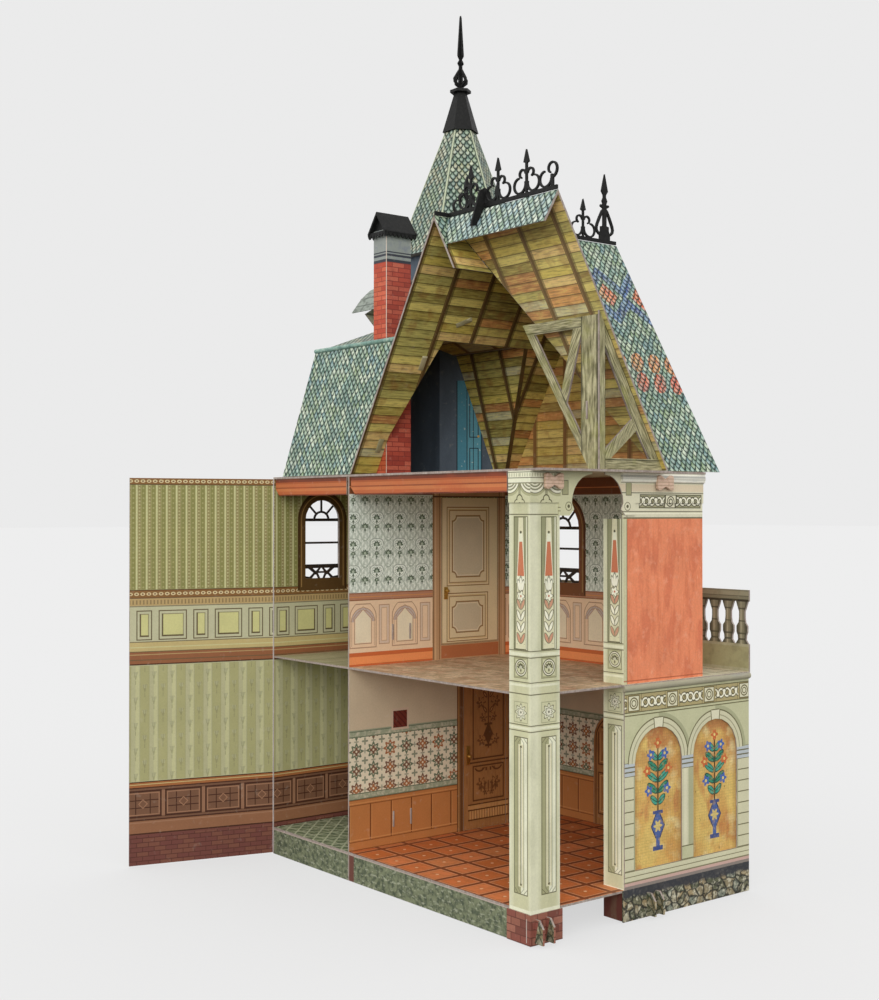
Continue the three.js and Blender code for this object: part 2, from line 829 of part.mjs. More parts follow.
function finialOutline(foot, height, middle = 0) {
  const at = (share) => foot + height * share;
  const right = [
    [3.2, at(0)],
    [3.2, at(0.04)],
    [9.5, at(0.1)],
    [10, at(0.15)],
    [2, at(0.29)],
    [2, at(0.33)],
    [4.2, at(0.36)],
    [1.4, at(0.41)],
    [4, at(0.46)],
    [4, at(0.49)],
    [0.9, at(0.97)],
  ];
  const left = right.map(([u, v]) => [-u, v]).reverse();
  const placed = (points) => outline(points.map(([u, v]) => [middle + u, v]));
  const shape = placed([...right, [0, at(1)], ...left]);
  for (const side of [-1, 1])
    shape.holes.push(
      placed([
        [side * 3, at(0.08)],
        [side * 7, at(0.12)],
        [side * 7.2, at(0.145)],
        [side * 2.6, at(0.22)],
      ]),
    );
  return shape;
}

// The main roof and the cross roof
function slopeProfile(top, drop, side) {
  // One sloping sheet seen from its end, from the ridge down to a level
  const thick = board / Math.cos(pitch);
  const foot = (ridgeHeight - drop) / slope;
  const inner = (ridgeHeight - drop - thick) / slope;
  const middle = slit / 2;
  return outline([
    [top + side * middle, ridgeHeight - middle * slope],
    [top + side * foot, drop],
    [top + side * inner, drop],
    [top + side * middle, ridgeHeight - middle * slope - thick],
  ]);
}

const eave = atticLevel + eaveLift;

function addMainRoof() {
  const tile = finish(colours.tile);
  const left = sheet("y", slopeProfile(ridgeX, eave, -1), 0, roofDepth);
  const hatchTop = atticLevel + hatchHeight;
  const rearTop = leftRoomDepth - mansardRearLean;
  const below = atticLevel - reach / 10;
  const hatch = outline([
    [hatchStart, below],
    [leftRoomDepth + hatchEndGap, below],
    [leftRoomDepth + hatchEndGap, atticLevel],
    [rearTop + hatchEndGap, hatchTop],
    [hatchTopStart, hatchTop],
    [hatchStart, atticLevel + hatchKnee],
  ]);
  const hatchTool = sheet("x", hatch, xLeft, houseWidth + ridgeX);
  add("roof_left_slope", cut(left, hatchTool), tile);

  const right = sheet("y", slopeProfile(ridgeX, eave, 1), 0, roofDepth);
  const valley = (z) => crossSetback + (ridgeHeight - z) / slope + slit;
  const crossRoom = outline([
    [-reach, below],
    [valley(below), below],
    [valley(frontLegHeight), frontLegHeight],
    [-reach, frontLegHeight],
  ]);
  add("roof_right_slope", cut(right, sheet("x", crossRoom, ridgeX, reach)), tile);

  const thick = board / Math.cos(pitch) + slit;
  const gableHalf = (z) => (ridgeHeight - thick - z) / slope;
  const gable = outline([
    [ridgeX - gableHalf(atticLevel), atticLevel],
    [ridgeX + gableHalf(atticLevel), atticLevel],
    [ridgeX, ridgeHeight - thick],
  ]);
  const gableWall = sheet("y", gable, upperHallDepth - board);
  add("rear_gable_wall", gableWall, finish(colours.plank));
}

function addCrossRoof() {
  const tile = finish(colours.tile);
  const start = ridgeX;
  const length = gableReach - start;
  const mainSlope = beyond(
    [ridgeX, 0, ridgeHeight + slit * 2],
    [-Math.sin(pitch), 0, -Math.cos(pitch)],
  );
  const stripDrop = ridgeHeight - (crossSetback - slit) * slope;
  const strip = sheet("x", slopeProfile(crossSetback, stripDrop, -1), start, length);
  add("roof_front_strip", cut(strip, mainSlope), tile);
  const back = sheet("x", slopeProfile(crossSetback, eave, 1), start, length);
  add("roof_back_slope", cut(back, mainSlope), tile);
}

// Two timber frames under the cross roof
function addTrusses() {
  const wood = finish(colours.plank);
  const xSide = gableReach - trussInset - board;
  const underRoof = (y) => ridgeHeight - board / Math.cos(pitch) - slit - (y - crossSetback) * slope;
  const top = underRoof(trussSetback + board);
  const foot = atticLevel;
  const xStart = xSide - trussWidth;
  const braceRun = trussWidth - postWidth + timber;
  const lean = braceRun / (top - foot);
  const outer = (z) => xStart + (top - z) * lean;
  const inner = (z) => outer(z) + timber;
  const post = xSide - postWidth;
  const beam = top - timber;
  const kneeEnd = foot + (top - foot) * 0.52;
  const frame = outline([
    [outer(foot), foot],
    [xSide, foot],
    [xSide, top],
    [xStart, top],
  ]);
  const upperHole = outline([
    [inner(beam), beam],
    [inner(kneeEnd), kneeEnd],
    [post - timber, beam],
  ]);
  const lowerHole = outline([
    [post, beam - timber / 2],
    [inner(kneeEnd - timber), kneeEnd - timber],
    [post, foot + (post - inner(foot)) / -lean],
  ]);
  const across = pierced(frame, upperHole, lowerHole);
  add("truss_across", sheet("y", across, trussSetback), wood);

  const run = (z) => crossSetback + (underRoof(crossSetback) - z) / slope;
  const inside = (z) => run(z) - timber / Math.sin(pitch);
  const start = trussSetback;
  const side = outline([
    [start, foot],
    [run(foot + board), foot],
    [run(foot + board), foot + board],
    [start, underRoof(start)],
  ]);
  const narrow = timber * 0.7;
  const low = foot + timber;
  const knee = foot + 45;
  const highHole = outline([
    [start + narrow, low + 4 * board],
    [inside(knee) - board, knee],
    [start + narrow, knee + (inside(knee) - start - narrow) * slope],
  ]);
  const lowHole = outline([
    [start + 2 * narrow, low],
    [inside(low), low],
    [inside(knee - timber) - board, knee - timber],
  ]);
  const alongSide = pierced(side, highHole, lowHole);
  add("truss_side", sheet("x", alongSide, xSide), wood);
}

// The mansard: three leaning faces and a low hipped top
function mansardShape(grow) {
  const x0 = xLeft + mansardInset - grow;
  const y0 = mansardSetback - grow;
  const y1 = leftRoomDepth + grow;
  const corners = (inX, inFront, inRear, z) => [
    [x0 + inX, y0 + inFront, z],
    [0, y0 + inFront, z],
    [0, y1 - inRear, z],
    [x0 + inX, y1 - inRear, z],
  ];
  return hull([
    ...corners(0, 0, 0, atticLevel),
    ...corners(mansardSideLean, mansardFrontLean, mansardRearLean, mansardTop + grow),
  ]);
}

function hipShape(grow, lower = 0) {
  const x0 = xLeft + mansardInset + mansardSideLean - grow;
  const y0 = mansardSetback + mansardFrontLean - grow;
  const y1 = leftRoomDepth - mansardRearLean + grow;
  const z = mansardTop - lower;
  const half = (y1 - y0) / 2;
  const top = z + half * Math.tan(hipPitch);
  return hull([
    [x0, y0, z],
    [0, y0, z],
    [0, y1, z],
    [x0, y1, z],
    [x0 + half, y0 + half, top],
    [0, y0 + half, top],
  ]);
}

function leaningSheet(axis, foot, lean, from, length) {
  // Seen from its end: from the floor up to the mansard's top, leaning by "lean"
  const thick = (Math.sign(lean) * board * Math.hypot(lean, mansardHeight)) / mansardHeight;
  const top = mansardTop - slit;
  const start = atticLevel + eaveLift;
  const share = (z) => foot + (lean * (z - atticLevel)) / mansardHeight;
  const profile = outline([
    [share(start), start],
    [share(start) + thick, start],
    [share(top) + thick, top],
    [share(top), top],
  ]);
  return sheet(axis, profile, from, length);
}

function chimneyBox(grow, from, to) {
  const x1 = xHall + chimneyInset;
  return block(
    x1 - chimneyWidth - grow,
    chimneyFront - grow,
    from,
    x1 + grow,
    chimneyFront + chimneyDepth + grow,
    to,
  );
}

// Everything on the main roof's side of its left slope
function mainRoofSide(grow) {
  return beyond(
    [ridgeX, 0, ridgeHeight + 2 * grow],
    [Math.sin(pitch), 0, -Math.cos(pitch)],
  );
}

function addMansard() {
  const tile = finish(colours.tile);
  const x0 = xLeft + mansardInset;
  const width = ridgeX - x0;
  const depth = leftRoomDepth - mansardSetback;
  const tower = towerPrism(slit, atticLevel, spireBase);
  const frontSpace = hull([
    [x0 - reach, mansardSetback + slit + board, atticLevel - board],
    [ridgeX, mansardSetback + slit + board, atticLevel - board],
    [x0 - reach, -reach, atticLevel - board],
    [ridgeX, -reach, atticLevel - board],
    [x0 - reach, mansardSetback + mansardFrontLean + slit + board, mansardTop],
    [ridgeX, mansardSetback + mansardFrontLean + slit + board, mansardTop],
    [x0 - reach, -reach, mansardTop],
    [ridgeX, -reach, mansardTop],
  ]);
  const leftSpace = beyond(
    [x0, 0, atticLevel],
    [-mansardHeight, 0, mansardSideLean],
  );
  const front = leaningSheet("x", mansardSetback, mansardFrontLean, x0, width);
  add("mansard_front", cut(front, leftSpace, mainRoofSide(slit)), tile);
  const left = leaningSheet("y", x0, mansardSideLean, mansardSetback, depth);
  add("mansard_left", cut(left, frontSpace, tower), tile);
  const rear = leaningSheet("x", leftRoomDepth, -mansardRearLean, towerX, width);
  add("mansard_rear", cut(rear, tower, mainRoofSide(slit)), finish(colours.plank));

  const hollow = hipShape(0, board / Math.cos(hipPitch));
  const top = cut(
    hipShape(0),
    hollow,
    mainRoofSide(slit),
    tower,
    chimneyBox(slit, atticLevel, ridgeHeight),
  );
  add("mansard_top", top, tile);
}

// The chimney and its gabled cap
function addChimney() {
  const foot = atticLevel;
  const top = foot + chimneyHeight;
  const stack = cut(chimneyBox(0, foot, top), chimneyBox(-board, foot - board, top + board));
  add("chimney_stack", stack, finish(colours.brick));

  const x = xHall + chimneyInset - chimneyWidth / 2;
  const y = chimneyFront + chimneyDepth / 2;
  const half = chimneyCapWidth / 2;
  const ridge = top - capLift + chimneyCapRise;
  const eaveZ = top - capLift;
  const inner = half - board * 1.2;
  const roof = outline([
    [x - half, eaveZ],
    [x, ridge],
    [x + half, eaveZ],
    [x + inner, eaveZ],
    [x, ridge - board * 1.7],
    [x - inner, eaveZ],
  ]);
  const slopes = sheet("y", roof, y - chimneyCapDepth / 2, chimneyCapDepth);
  const rest = inner * (1 - capLift / chimneyCapRise);
  const gable = outline([
    [x - rest, top],
    [x + rest, top],
    [x, ridge - board],
  ]);
  const gables = [-1, 1].map((side) =>
    sheet("y", gable, y + (side * (chimneyDepth - board)) / 2 - board / 2),
  );
  const cap = cut(join(slopes, ...gables), chimneyBox(slit, foot, top));
  add("chimney_cap", cap, finish(colours.black));
}

// The dormer: a folded wall under an arched hood, beside the tower
function addDormer() {
  const x0 = xLeft + dormerFace;
  const y1 = dormerStart + dormerWidth;
  const middle = dormerStart + dormerWidth / 2;
  const knee = 14;
  const face = outline([
    [dormerStart, dormerSill],
    [y1, dormerSill],
    [y1, dormerEave - knee],
    [y1 + knee, dormerEave],
    [middle + dormerWidth * 0.3, dormerEave + hoodRise * 0.42],
    [middle, dormerEave + hoodRise * 0.6],
    [middle - dormerWidth * 0.3, dormerEave + hoodRise * 0.42],
    [dormerStart - knee, dormerEave],
    [dormerStart, dormerEave - knee],
  ]);
  const windowWidth = dormerWidth / 2;
  const windowSill = mansardTop + 2 * board;
  const windowHeight = dormerEave - windowSill;
  face.holes.push(
    roundHeaded(middle - windowWidth / 2, windowSill, windowWidth, windowHeight),
  );
  const cheek = block(x0, dormerStart, dormerSill, x0 + dormerDepth, dormerStart + board, dormerEave);
  const end = block(
    x0 + dormerDepth - board,
    dormerStart,
    mansardTop,
    x0 + dormerDepth,
    towerY,
    dormerEave,
  );
  const tower = towerPrism(slit, atticLevel, spireBase);
  const walls = cut(
    join(sheet("x", face, x0), cheek, end),
    mansardShape(slit),
    hipShape(slit, -slit),
    tower,
  );
  add("dormer_walls", walls, finish(colours.plaster));

  const arc = (rise, run, drop) => {
    const points = [];
    const steps = 4;
    for (let i = -steps; i <= steps; i++) {
      const t = i / steps;
      points.push([middle + run * t, dormerEave + rise * (1 - Math.abs(t) ** 2.2) - drop]);
    }
    return points;
  };
  const run = dormerWidth / 2 + hoodOverhang;
  const hoodFoot = 1;
  const hood = outline([
    ...arc(hoodRise, run, -hoodFoot),
    ...arc(hoodRise - board, run - board, -hoodFoot).reverse(),
  ]);
  const hoodSheet = sheet("x", hood, x0 - hoodProud, dormerDepth + hoodProud);
  add("dormer_hood", cut(hoodSheet, tower), finish(colours.tile));
}

// Ironwork along the ridges: spears between curls on a flat strip.
// A curl is a strip that starts at an angle and winds inward, to the left where turn is positive.
function curl(u, v, shape, start, turn) {
  const steps = 16;
  const edge = (offset) =>
    Array.from({ length: steps + 1 }, (_, i) => {
      const share = i / steps;
      const angle = start + turn * 2 * Math.PI * shape.turns * share;
      const r = curlRadius(shape, share) - offset * iron * (1 - 0.25 * share);
      return [u + r * Math.cos(angle), v + r * Math.sin(angle)];
    });
  return outline([...edge(0), ...edge(1).reverse()]);
}

function curlRadius(shape, share) {
  return shape.radius * (1 - shape.loss * share);
}

function spear(u, foot) {
  const half = iron / 2;
  const neck = foot + spearHeight - spearHead.height;
  return outline([
    [u - half, foot],
    [u + half, foot],
    [u + half, neck],
    [u + spearHead.half, neck + half],
    [u, foot + spearHeight],
    [u - spearHead.half, neck + half],
    [u - half, neck],
  ]);
}

// The tall spear stands between the arms of a lyre
function tallSpear(u, foot) {
  const placed = (points, side) =>
    points.map(([w, h]) => [u + side * lyreHalf * w, foot + tallSpearHeight * h]);
  const left = placed(tallOutline, -1).reverse();
  const shaft = outline([...placed(tallOutline, 1), [u, foot + tallSpearHeight], ...left]);
  return [shaft, outline(placed(lyreArm, 1)), outline(placed(lyreArm, -1).reverse())];
}

// Beside a post, a wave that rests on the strip
function wave(u, foot, side) {
  const { turns, lead, radius } = waveCurl;
  const atStrip = curlRadius(waveCurl, (Math.PI / 2 + lead) / (2 * Math.PI * turns));
  return curl(
    u + side * (radius * Math.cos(lead) + iron / 8),
    foot + ironBase - iron / 4 + atStrip,
    waveCurl,
    side > 0 ? Math.PI - lead : lead,
    side,
  );
}

// and above it a curl at the post's shoulder
function shoulder(u, foot, side) {
  const { radius, rise } = shoulderCurl;
  return curl(u + side * radius, foot + rise, shoulderCurl, side > 0 ? Math.PI : 0, -side);
}

function ironwork(axis, start, end, spears, tallAt, extra, from) {
  const foot = ridgeHeight + eaveLift;
  const sheets = [rectangle(start, foot, end, foot + ironBase), ...extra];
  for (const u of spears) {
    sheets.push(spear(u, foot));
    for (const side of [-1, 1]) {
      const reachOut = u + side * (spearPitch / 2);
      if (reachOut > start && reachOut < end) sheets.push(wave(u, foot, side));
      sheets.push(shoulder(u, foot, side));
    }
  }
  if (tallAt) sheets.push(...tallSpear(tallAt, foot));
  return join(...sheets.map((shape) => sheet(axis, shape, from, iron)));
}

function addIronwork() {
  const black = finish(colours.black);
  const half = iron / 2;
  const strip = ridgeHeight + eaveLift;
  const crossEnd = gableReach - half;
  const crossStart = ridgeX + half + slit;
  const crossSpears = [];
  for (let x = crossEnd - endBay; x > crossStart + ridgeEnd; x -= spearPitch) crossSpears.push(x);
  const post = crossEnd - endPost;
  const postTop = strip + endCurl.rise - endCurl.radius + half;
  const endMotif = [
    rectangle(post - iron, strip, post + half, postTop),
    curl(post - half, strip + endCurl.rise, endCurl, -Math.PI / 2, 1),
    wave(post, strip, -1),
  ];
  const crossFrom = crossSetback - half;
  const cross = ironwork("y", crossStart, crossEnd, crossSpears, null, endMotif, crossFrom);
  add("cross_ridge_ironwork", cross, black);

  const tall = roofDepth - half - ridgeEnd;
  const mainSpears = [];
  for (let y = tall - tallBay; y > ridgeEnd; y -= spearPitch) mainSpears.push(y);
  const main = ironwork("x", half, roofDepth - half, mainSpears, tall, [], ridgeX - half);
  add("main_ridge_ironwork", main, black);

  // A flat saddle that locks the cross ironwork to the roof, between two of its spears
  const x = crossSpears[1] - (spearPitch + iron) / 2;
  const foot = ridgeHeight + eaveLift;
  const leg = 18;
  const width = 3 * iron;
  const lift = slit * 2;
  const saddle = outline([
    [crossSetback, foot + width * 3],
    [crossSetback - width, foot + width * 2.4],
    [crossSetback - width - leg / slope, foot + lift - leg - width * 0.2],
    [crossSetback - leg / slope, foot + lift - leg],
    [crossSetback - half - slit, foot + lift - half * slope],
    [crossSetback - half - slit, foot + ironBase + slit],
    [crossSetback + half + slit, foot + ironBase + slit],
    [crossSetback + half + slit, foot + lift - half * slope],
    [crossSetback + leg / slope, foot + lift - leg],
    [crossSetback + width + leg / slope, foot + lift - leg - width * 0.2],
    [crossSetback + width, foot + width * 2.4],
  ]);
  add("ridge_saddle", sheet("x", saddle, x, iron), black);
}

addWalls();
addRightFacing();
addColumn();
addFloors();
addBalustrades();
addLattices();
addFrontPanel();
addDoors();
addTower();
addMainRoof();
addCrossRoof();
addTrusses();
addMansard();
addChimney();
addDormer();
addIronwork();

// The origin lies at the middle of the house's bounding box, on the table
const bounds = new THREE.Box3().setFromObject(house, true);
const middle = bounds.getCenter(new THREE.Vector3());
house.position.set(-middle.x, -middle.y, -bounds.min.z);
house.updateMatrixWorld(true);

export default house;
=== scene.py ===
import math

import bpy
from mathutils import Matrix, Vector


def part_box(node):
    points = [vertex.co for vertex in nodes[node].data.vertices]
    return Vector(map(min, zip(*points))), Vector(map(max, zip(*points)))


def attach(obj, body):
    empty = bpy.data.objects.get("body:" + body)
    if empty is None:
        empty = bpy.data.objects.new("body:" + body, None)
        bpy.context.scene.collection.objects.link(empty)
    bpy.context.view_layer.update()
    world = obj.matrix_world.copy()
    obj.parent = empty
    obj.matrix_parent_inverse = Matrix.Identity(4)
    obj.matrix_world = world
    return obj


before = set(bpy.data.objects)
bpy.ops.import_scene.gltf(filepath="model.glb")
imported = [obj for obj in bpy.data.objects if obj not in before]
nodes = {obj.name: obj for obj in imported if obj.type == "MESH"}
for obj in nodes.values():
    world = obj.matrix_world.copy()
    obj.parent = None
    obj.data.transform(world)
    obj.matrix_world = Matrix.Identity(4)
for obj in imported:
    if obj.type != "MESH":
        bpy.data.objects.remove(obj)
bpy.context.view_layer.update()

print("frame loaded:", len(nodes), "card pieces")

# The house's front right corner: x runs right along the open front and y to the back from it
corner = Vector((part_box("right_wall_upper")[1].x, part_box("attic_floor")[0].y, 0))


def place(x, y, z=0):  # a spot of the house, given in millimetres
    return corner + Vector((x, y, z)) / 1000


# drawing with nodes
def colour(code):
    parts = [int(code[i:i + 2], 16) / 255 for i in (1, 3, 5)]
    return [c / 12.92 if c < 0.04045 else ((c + 0.055) / 1.055) ** 2.4 for c in parts] + [1]


def plug(tree, entry, value):
    if isinstance(value, Field):
        tree.links.new(value.socket, entry)
    elif isinstance(value, bpy.types.NodeSocket):
        tree.links.new(value, entry)
    else:
        entry.default_value = colour(value) if isinstance(value, str) else value


def maths(tree, operation, *values):
    node = tree.nodes.new("ShaderNodeMath")
    node.operation = operation
    for entry, value in zip(node.inputs, values):
        plug(tree, entry, value)
    return Field(tree, node.outputs[0])


class Field:  # a number that changes over a sheet
    def __init__(self, tree, socket):
        self.tree, self.socket = tree, socket

    def do(self, operation, *values):
        return maths(self.tree, operation, self, *values)

    def __add__(self, other):
        return self.do("ADD", other)

    def __sub__(self, other):
        return self.do("SUBTRACT", other)

    def __mul__(self, other):
        return self.do("MULTIPLY", other)

    def __truediv__(self, other):
        return self.do("DIVIDE", other)

    def __rsub__(self, other):
        return maths(self.tree, "SUBTRACT", other, self)

    def __and__(self, other):
        return self.do("MULTIPLY", other)

    def __or__(self, other):
        return self.do("MAXIMUM", other)

    def below(self, value):
        return self.do("LESS_THAN", value)

    def above(self, value):
        return self.do("GREATER_THAN", value)

    def near(self, middle, half):
        return self.do("COMPARE", middle, half)

    def marks(self, half, *middles):  # near any of several values
        mask = self.near(middles[0], half)
        for middle in middles[1:]:
            mask = mask | self.near(middle, half)
        return mask

    def between(self, low, high):
        return self.near((low + high) / 2, (high - low) / 2)

    def size(self):
        return self.do("ABSOLUTE")

    def wrap(self, period):
        return self.do("FLOORED_MODULO", period)

    def cell(self, period):
        return (self / period).do("FLOOR")

    def fold(self, period, middle=0):  # distance from the nearest of a row of spots
        return (self - (middle - period / 2)).wrap(period) - period / 2

    def hypot(self, other):
        length = self.tree.nodes.new("ShaderNodeVectorMath")
        length.operation = "LENGTH"
        plug(self.tree, length.inputs[0], pair(self, other))
        return Field(self.tree, length.outputs["Value"])

    def ramp(self, low, high):
        node = self.tree.nodes.new("ShaderNodeMapRange")
        for entry, value in zip(node.inputs, (self, low, high, 0, 1)):
            plug(self.tree, entry, value)
        return Field(self.tree, node.outputs[0])


def pair(a, b):
    both = a.tree.nodes.new("ShaderNodeCombineXYZ")
    plug(a.tree, both.inputs[0], a)
    plug(a.tree, both.inputs[1], b)
    return both.outputs[0]


def boxEdge(u, v, halfU, halfV):  # distance outside a box round the spot (0, 0)
    return (u.size() - halfU) | (v.size() - halfV)


def star(u, v, radius, points, depth):
    wave = (v.do("ARCTAN2", u) * points).do("COSINE") * depth
    return (u.hypot(v) / (wave + 1)).below(radius)


def chance(a, b=0.0):  # one random number for each pair of whole numbers
    node = a.tree.nodes.new("ShaderNodeTexWhiteNoise")
    plug(a.tree, node.inputs["Vector"], pair(a, b))
    return Field(a.tree, node.outputs["Value"])


def noise(tree, spot, detail):
    node = tree.nodes.new("ShaderNodeTexNoise")
    node.inputs["Scale"].default_value = 1
    node.inputs["Detail"].default_value = detail
    plug(tree, node.inputs["Vector"], spot)
    return Field(tree, node.outputs[0])


def cloud(tree, size, detail=2.0, stretch=(1, 1, 1)):  # soft random spots of a size in millimetres
    scaled = tree.nodes.new("ShaderNodeVectorMath")
    scaled.operation = "MULTIPLY"
    plug(tree, scaled.inputs[0], objectPlace(tree))
    scaled.inputs[1].default_value = [1000 / size / s for s in stretch]
    return noise(tree, scaled.outputs[0], detail)


def objectPlace(tree):
    node = tree.nodes.get("Place") or tree.nodes.new("ShaderNodeTexCoord")
    node.name = "Place"
    return node.outputs["Object"]


class Ink:  # colours printed over one another, given by their codes or by their names in the look
    def __init__(self, tree, ground, look=None):
        self.tree, self.colour, self.look = tree, ground, look or {}

    def __call__(self, mask, shade, share=1.0):
        node = self.tree.nodes.new("ShaderNodeMix")
        node.data_type = "RGBA"
        plug(self.tree, node.inputs[0], mask if share == 1.0 else mask * share)
        plug(self.tree, node.inputs[6], self.colour)
        plug(self.tree, node.inputs[7], self.named(shade))
        self.colour = node.outputs[2]

    def use(self, look):
        self.look = look
        self.colour = self.colour or look.get("ground")

    def named(self, shade):
        return self.look.get(shade, shade) if isinstance(shade, str) else shade

    def along(self, direction, start=(0, 0, 0)):  # millimetres from a spot of the house, one way
        way = Vector(direction).normalized()
        dot = self.tree.nodes.new("ShaderNodeVectorMath")
        dot.operation = "DOT_PRODUCT"
        self.tree.links.new(objectPlace(self.tree), dot.inputs[0])
        dot.inputs[1].default_value = way * 1000
        return Field(self.tree, dot.outputs["Value"]) - way.dot(place(*start)) * 1000

    def ways(self, *directions):
        return [self.along(direction) for direction in directions]

    def cloud(self, *settings):
        return cloud(self.tree, *settings)

    def lay(self, group, u, v):  # a print that several sheets share
        self.colour = useGroup(self.tree, group, Across=u, Up=v).outputs[0]

    def stain(self, size, detail, low, high, shade, share, stretch=(1, 1, 1)):  # soft random blotches
        self(self.cloud(size, detail, stretch).ramp(low, high), shade, share)

    def line(self, field, middle, width, shade, share=1.0, within=None):
        mask = field.near(middle, width / 2)
        self(mask if within is None else mask & within, shade, share)

    def steps(self, field, stops):  # plain colours, each from its own value up
        node = self.tree.nodes.new("ShaderNodeValToRGB")
        ramp = node.color_ramp
        ramp.interpolation = "CONSTANT"
        while len(ramp.elements) < len(stops):
            ramp.elements.new(0.5)
        for i, (position, shade) in enumerate(stops):
            ramp.elements[i].position = position
            ramp.elements[i].color = colour(self.named(shade))
        plug(self.tree, node.inputs[0], field)
        return node.outputs[0]

    def scale(self, field, shades):  # a row of colours picked by a number from 0 to 1
        shades = self.named(shades) if isinstance(shades, str) else shades
        return self.steps(field, [(i / len(shades), shade) for i, shade in enumerate(shades)])

    def bands(self, field, low, high, *steps):
        stops = [((height - low) / (high - low), shade) for height, shade in steps]
        return self.steps(field.ramp(low, high), stops)


def newGroup(name, entries, results):
    tree = bpy.data.node_groups.new(name, "ShaderNodeTree")
    for way, labels in (("INPUT", entries), ("OUTPUT", results)):
        for label in labels:
            kind = "NodeSocketColor" if label == "Color" else "NodeSocketFloat"
            tree.interface.new_socket(label, in_out=way, socket_type=kind)
    given = tree.nodes.new("NodeGroupInput")
    result = tree.nodes.new("NodeGroupOutput")
    return tree, [Field(tree, given.outputs[label]) for label in entries], result


def sharedPrint(name, look, draw):
    tree, (u, v), result = newGroup(name, ("Across", "Up"), ("Color",))
    ink = Ink(tree, None, look)
    draw(ink, u, v)
    plug(tree, result.inputs["Color"], ink.colour)
    return tree


def useGroup(tree, group, **values):
    node = tree.nodes.new("ShaderNodeGroup")
    node.node_tree = group
    for label, value in values.items():
        plug(tree, node.inputs[label], value)
    return node


# the printed card's own surface: mottled ink, rubbed places and paper grain

cardSurface = {"blotch": 26, "speck": 1.6, "rub": 7, "roughness": 0.52, "pale": "#d9d2c2"}


def makeCardFinish():
    tree, (base, mottle, wear), result = newGroup(
        "cardFinish", ("Color", "Mottle", "Wear"), ("Color", "Roughness", "Height")
    )
    blotch = cloud(tree, cardSurface["blotch"], 3)
    speck = cloud(tree, cardSurface["speck"], 2)
    lightness = ((blotch - 0.5) * 0.55 + (speck - 0.5) * 0.6) * mottle + 1
    shaded = tree.nodes.new("ShaderNodeVectorMath")
    shaded.operation = "SCALE"
    plug(tree, shaded.inputs[0], base)
    plug(tree, shaded.inputs["Scale"], lightness)
    ink = Ink(tree, shaded.outputs[0])
    rub = cloud(tree, cardSurface["rub"], 4)
    ink(rub.ramp(0.62, 0.8) & wear, cardSurface["pale"], 0.5)
    plug(tree, result.inputs["Color"], ink.colour)
    rough = (speck - 0.5) * 0.25 + (rub - 0.5) * 0.2 + cardSurface["roughness"]
    plug(tree, result.inputs["Roughness"], rough)
    plug(tree, result.inputs["Height"], speck)
    return tree


cardFinish = makeCardFinish()


def printed(name, draw, *given, ground=None, mottle=0.35, wear=0.3, grain=0.12, level=0.25):
    material = bpy.data.materials.new(name)
    material.use_nodes = True
    tree = material.node_tree
    shader = tree.nodes["Principled BSDF"]
    ink = Ink(tree, ground)
    draw(ink, *given)
    finish = useGroup(tree, cardFinish, Color=ink.colour, Mottle=mottle, Wear=wear)
    tree.links.new(finish.outputs["Color"], shader.inputs["Base Color"])
    tree.links.new(finish.outputs["Roughness"], shader.inputs["Roughness"])
    bump = tree.nodes.new("ShaderNodeBump")
    bump.inputs["Strength"].default_value = grain
    bump.inputs["Distance"].default_value = 0.0003
    tree.links.new(finish.outputs["Height"], bump.inputs["Height"])
    tree.links.new(bump.outputs[0], shader.inputs["Normal"])
    shader.inputs["Specular IOR Level"].default_value = level
    return material


def drawStains(ink, *stains):
    for stain in stains:
        ink.stain(*stain)


right, left = (1, 0, 0), (-1, 0, 0)
front, back = (0, -1, 0), (0, 1, 0)
up, down = (0, 0, 1), (0, 0, -1)
compass = {"right": right, "left": left, "front": front, "back": back, "up": up, "down": down}

# grey-brown cut edges
cardEdgeLook = {"ground": "#9a8c83", "layer": "#7d7068", "pale": "#b5aaa0"}


def drawCardEdge(ink):
    ink.use(cardEdgeLook)
    fibre = ink.cloud(2.4, 3, (1, 1, 4))
    ink(fibre.ramp(0.45, 0.7), "pale", 0.8)
    ink.stain(5, 2, 0.55, 0.75, "layer", 0.7)


cardEdge = printed("cardEdge", drawCardEdge, mottle=0.6, grain=0.4)


def dress(name, *sides, edge=cardEdge, **prints):  # a face takes the print of the side it looks to
    mesh = nodes[name].data
    sides += tuple((compass[side], material) for side, material in prints.items())
    mesh.materials.clear()
    for material in (edge, *[material for way, material in sides]):
        mesh.materials.append(material)
    ways = [Vector(way).normalized() for way, material in sides]
    for face in mesh.polygons:
        facing = [i for i, way in enumerate(ways, 1) if face.normal.dot(way) > 0.8]
        face.material_index = facing[0] if facing else 0


# the left rooms' paper, the same on the panel, the walls and the partition
roomLook = {
    "stripe": 10.3, "olive": "#8b8850", "ground": "#a9a571", "pale": "#cdcb97", "dots": "#7c5f38",
    "chain": "#8a6238", "link": "#d6c596", "tan": "#bb9f6c", "sage": "#c2bf9c", "panel": "#cfcb8c",
    "line": "#66593e", "yellow": "#c4b078", "skirting": "#95603f", "lower": "#b7b48c",
    "figure": "#85845f", "rail": "#a5683c", "oak": "#7a5640", "oakDark": "#48291b",
    "oakPale": "#a2775a", "band": "#946648", "brick": "#74453c", "joint": "#553029",
}


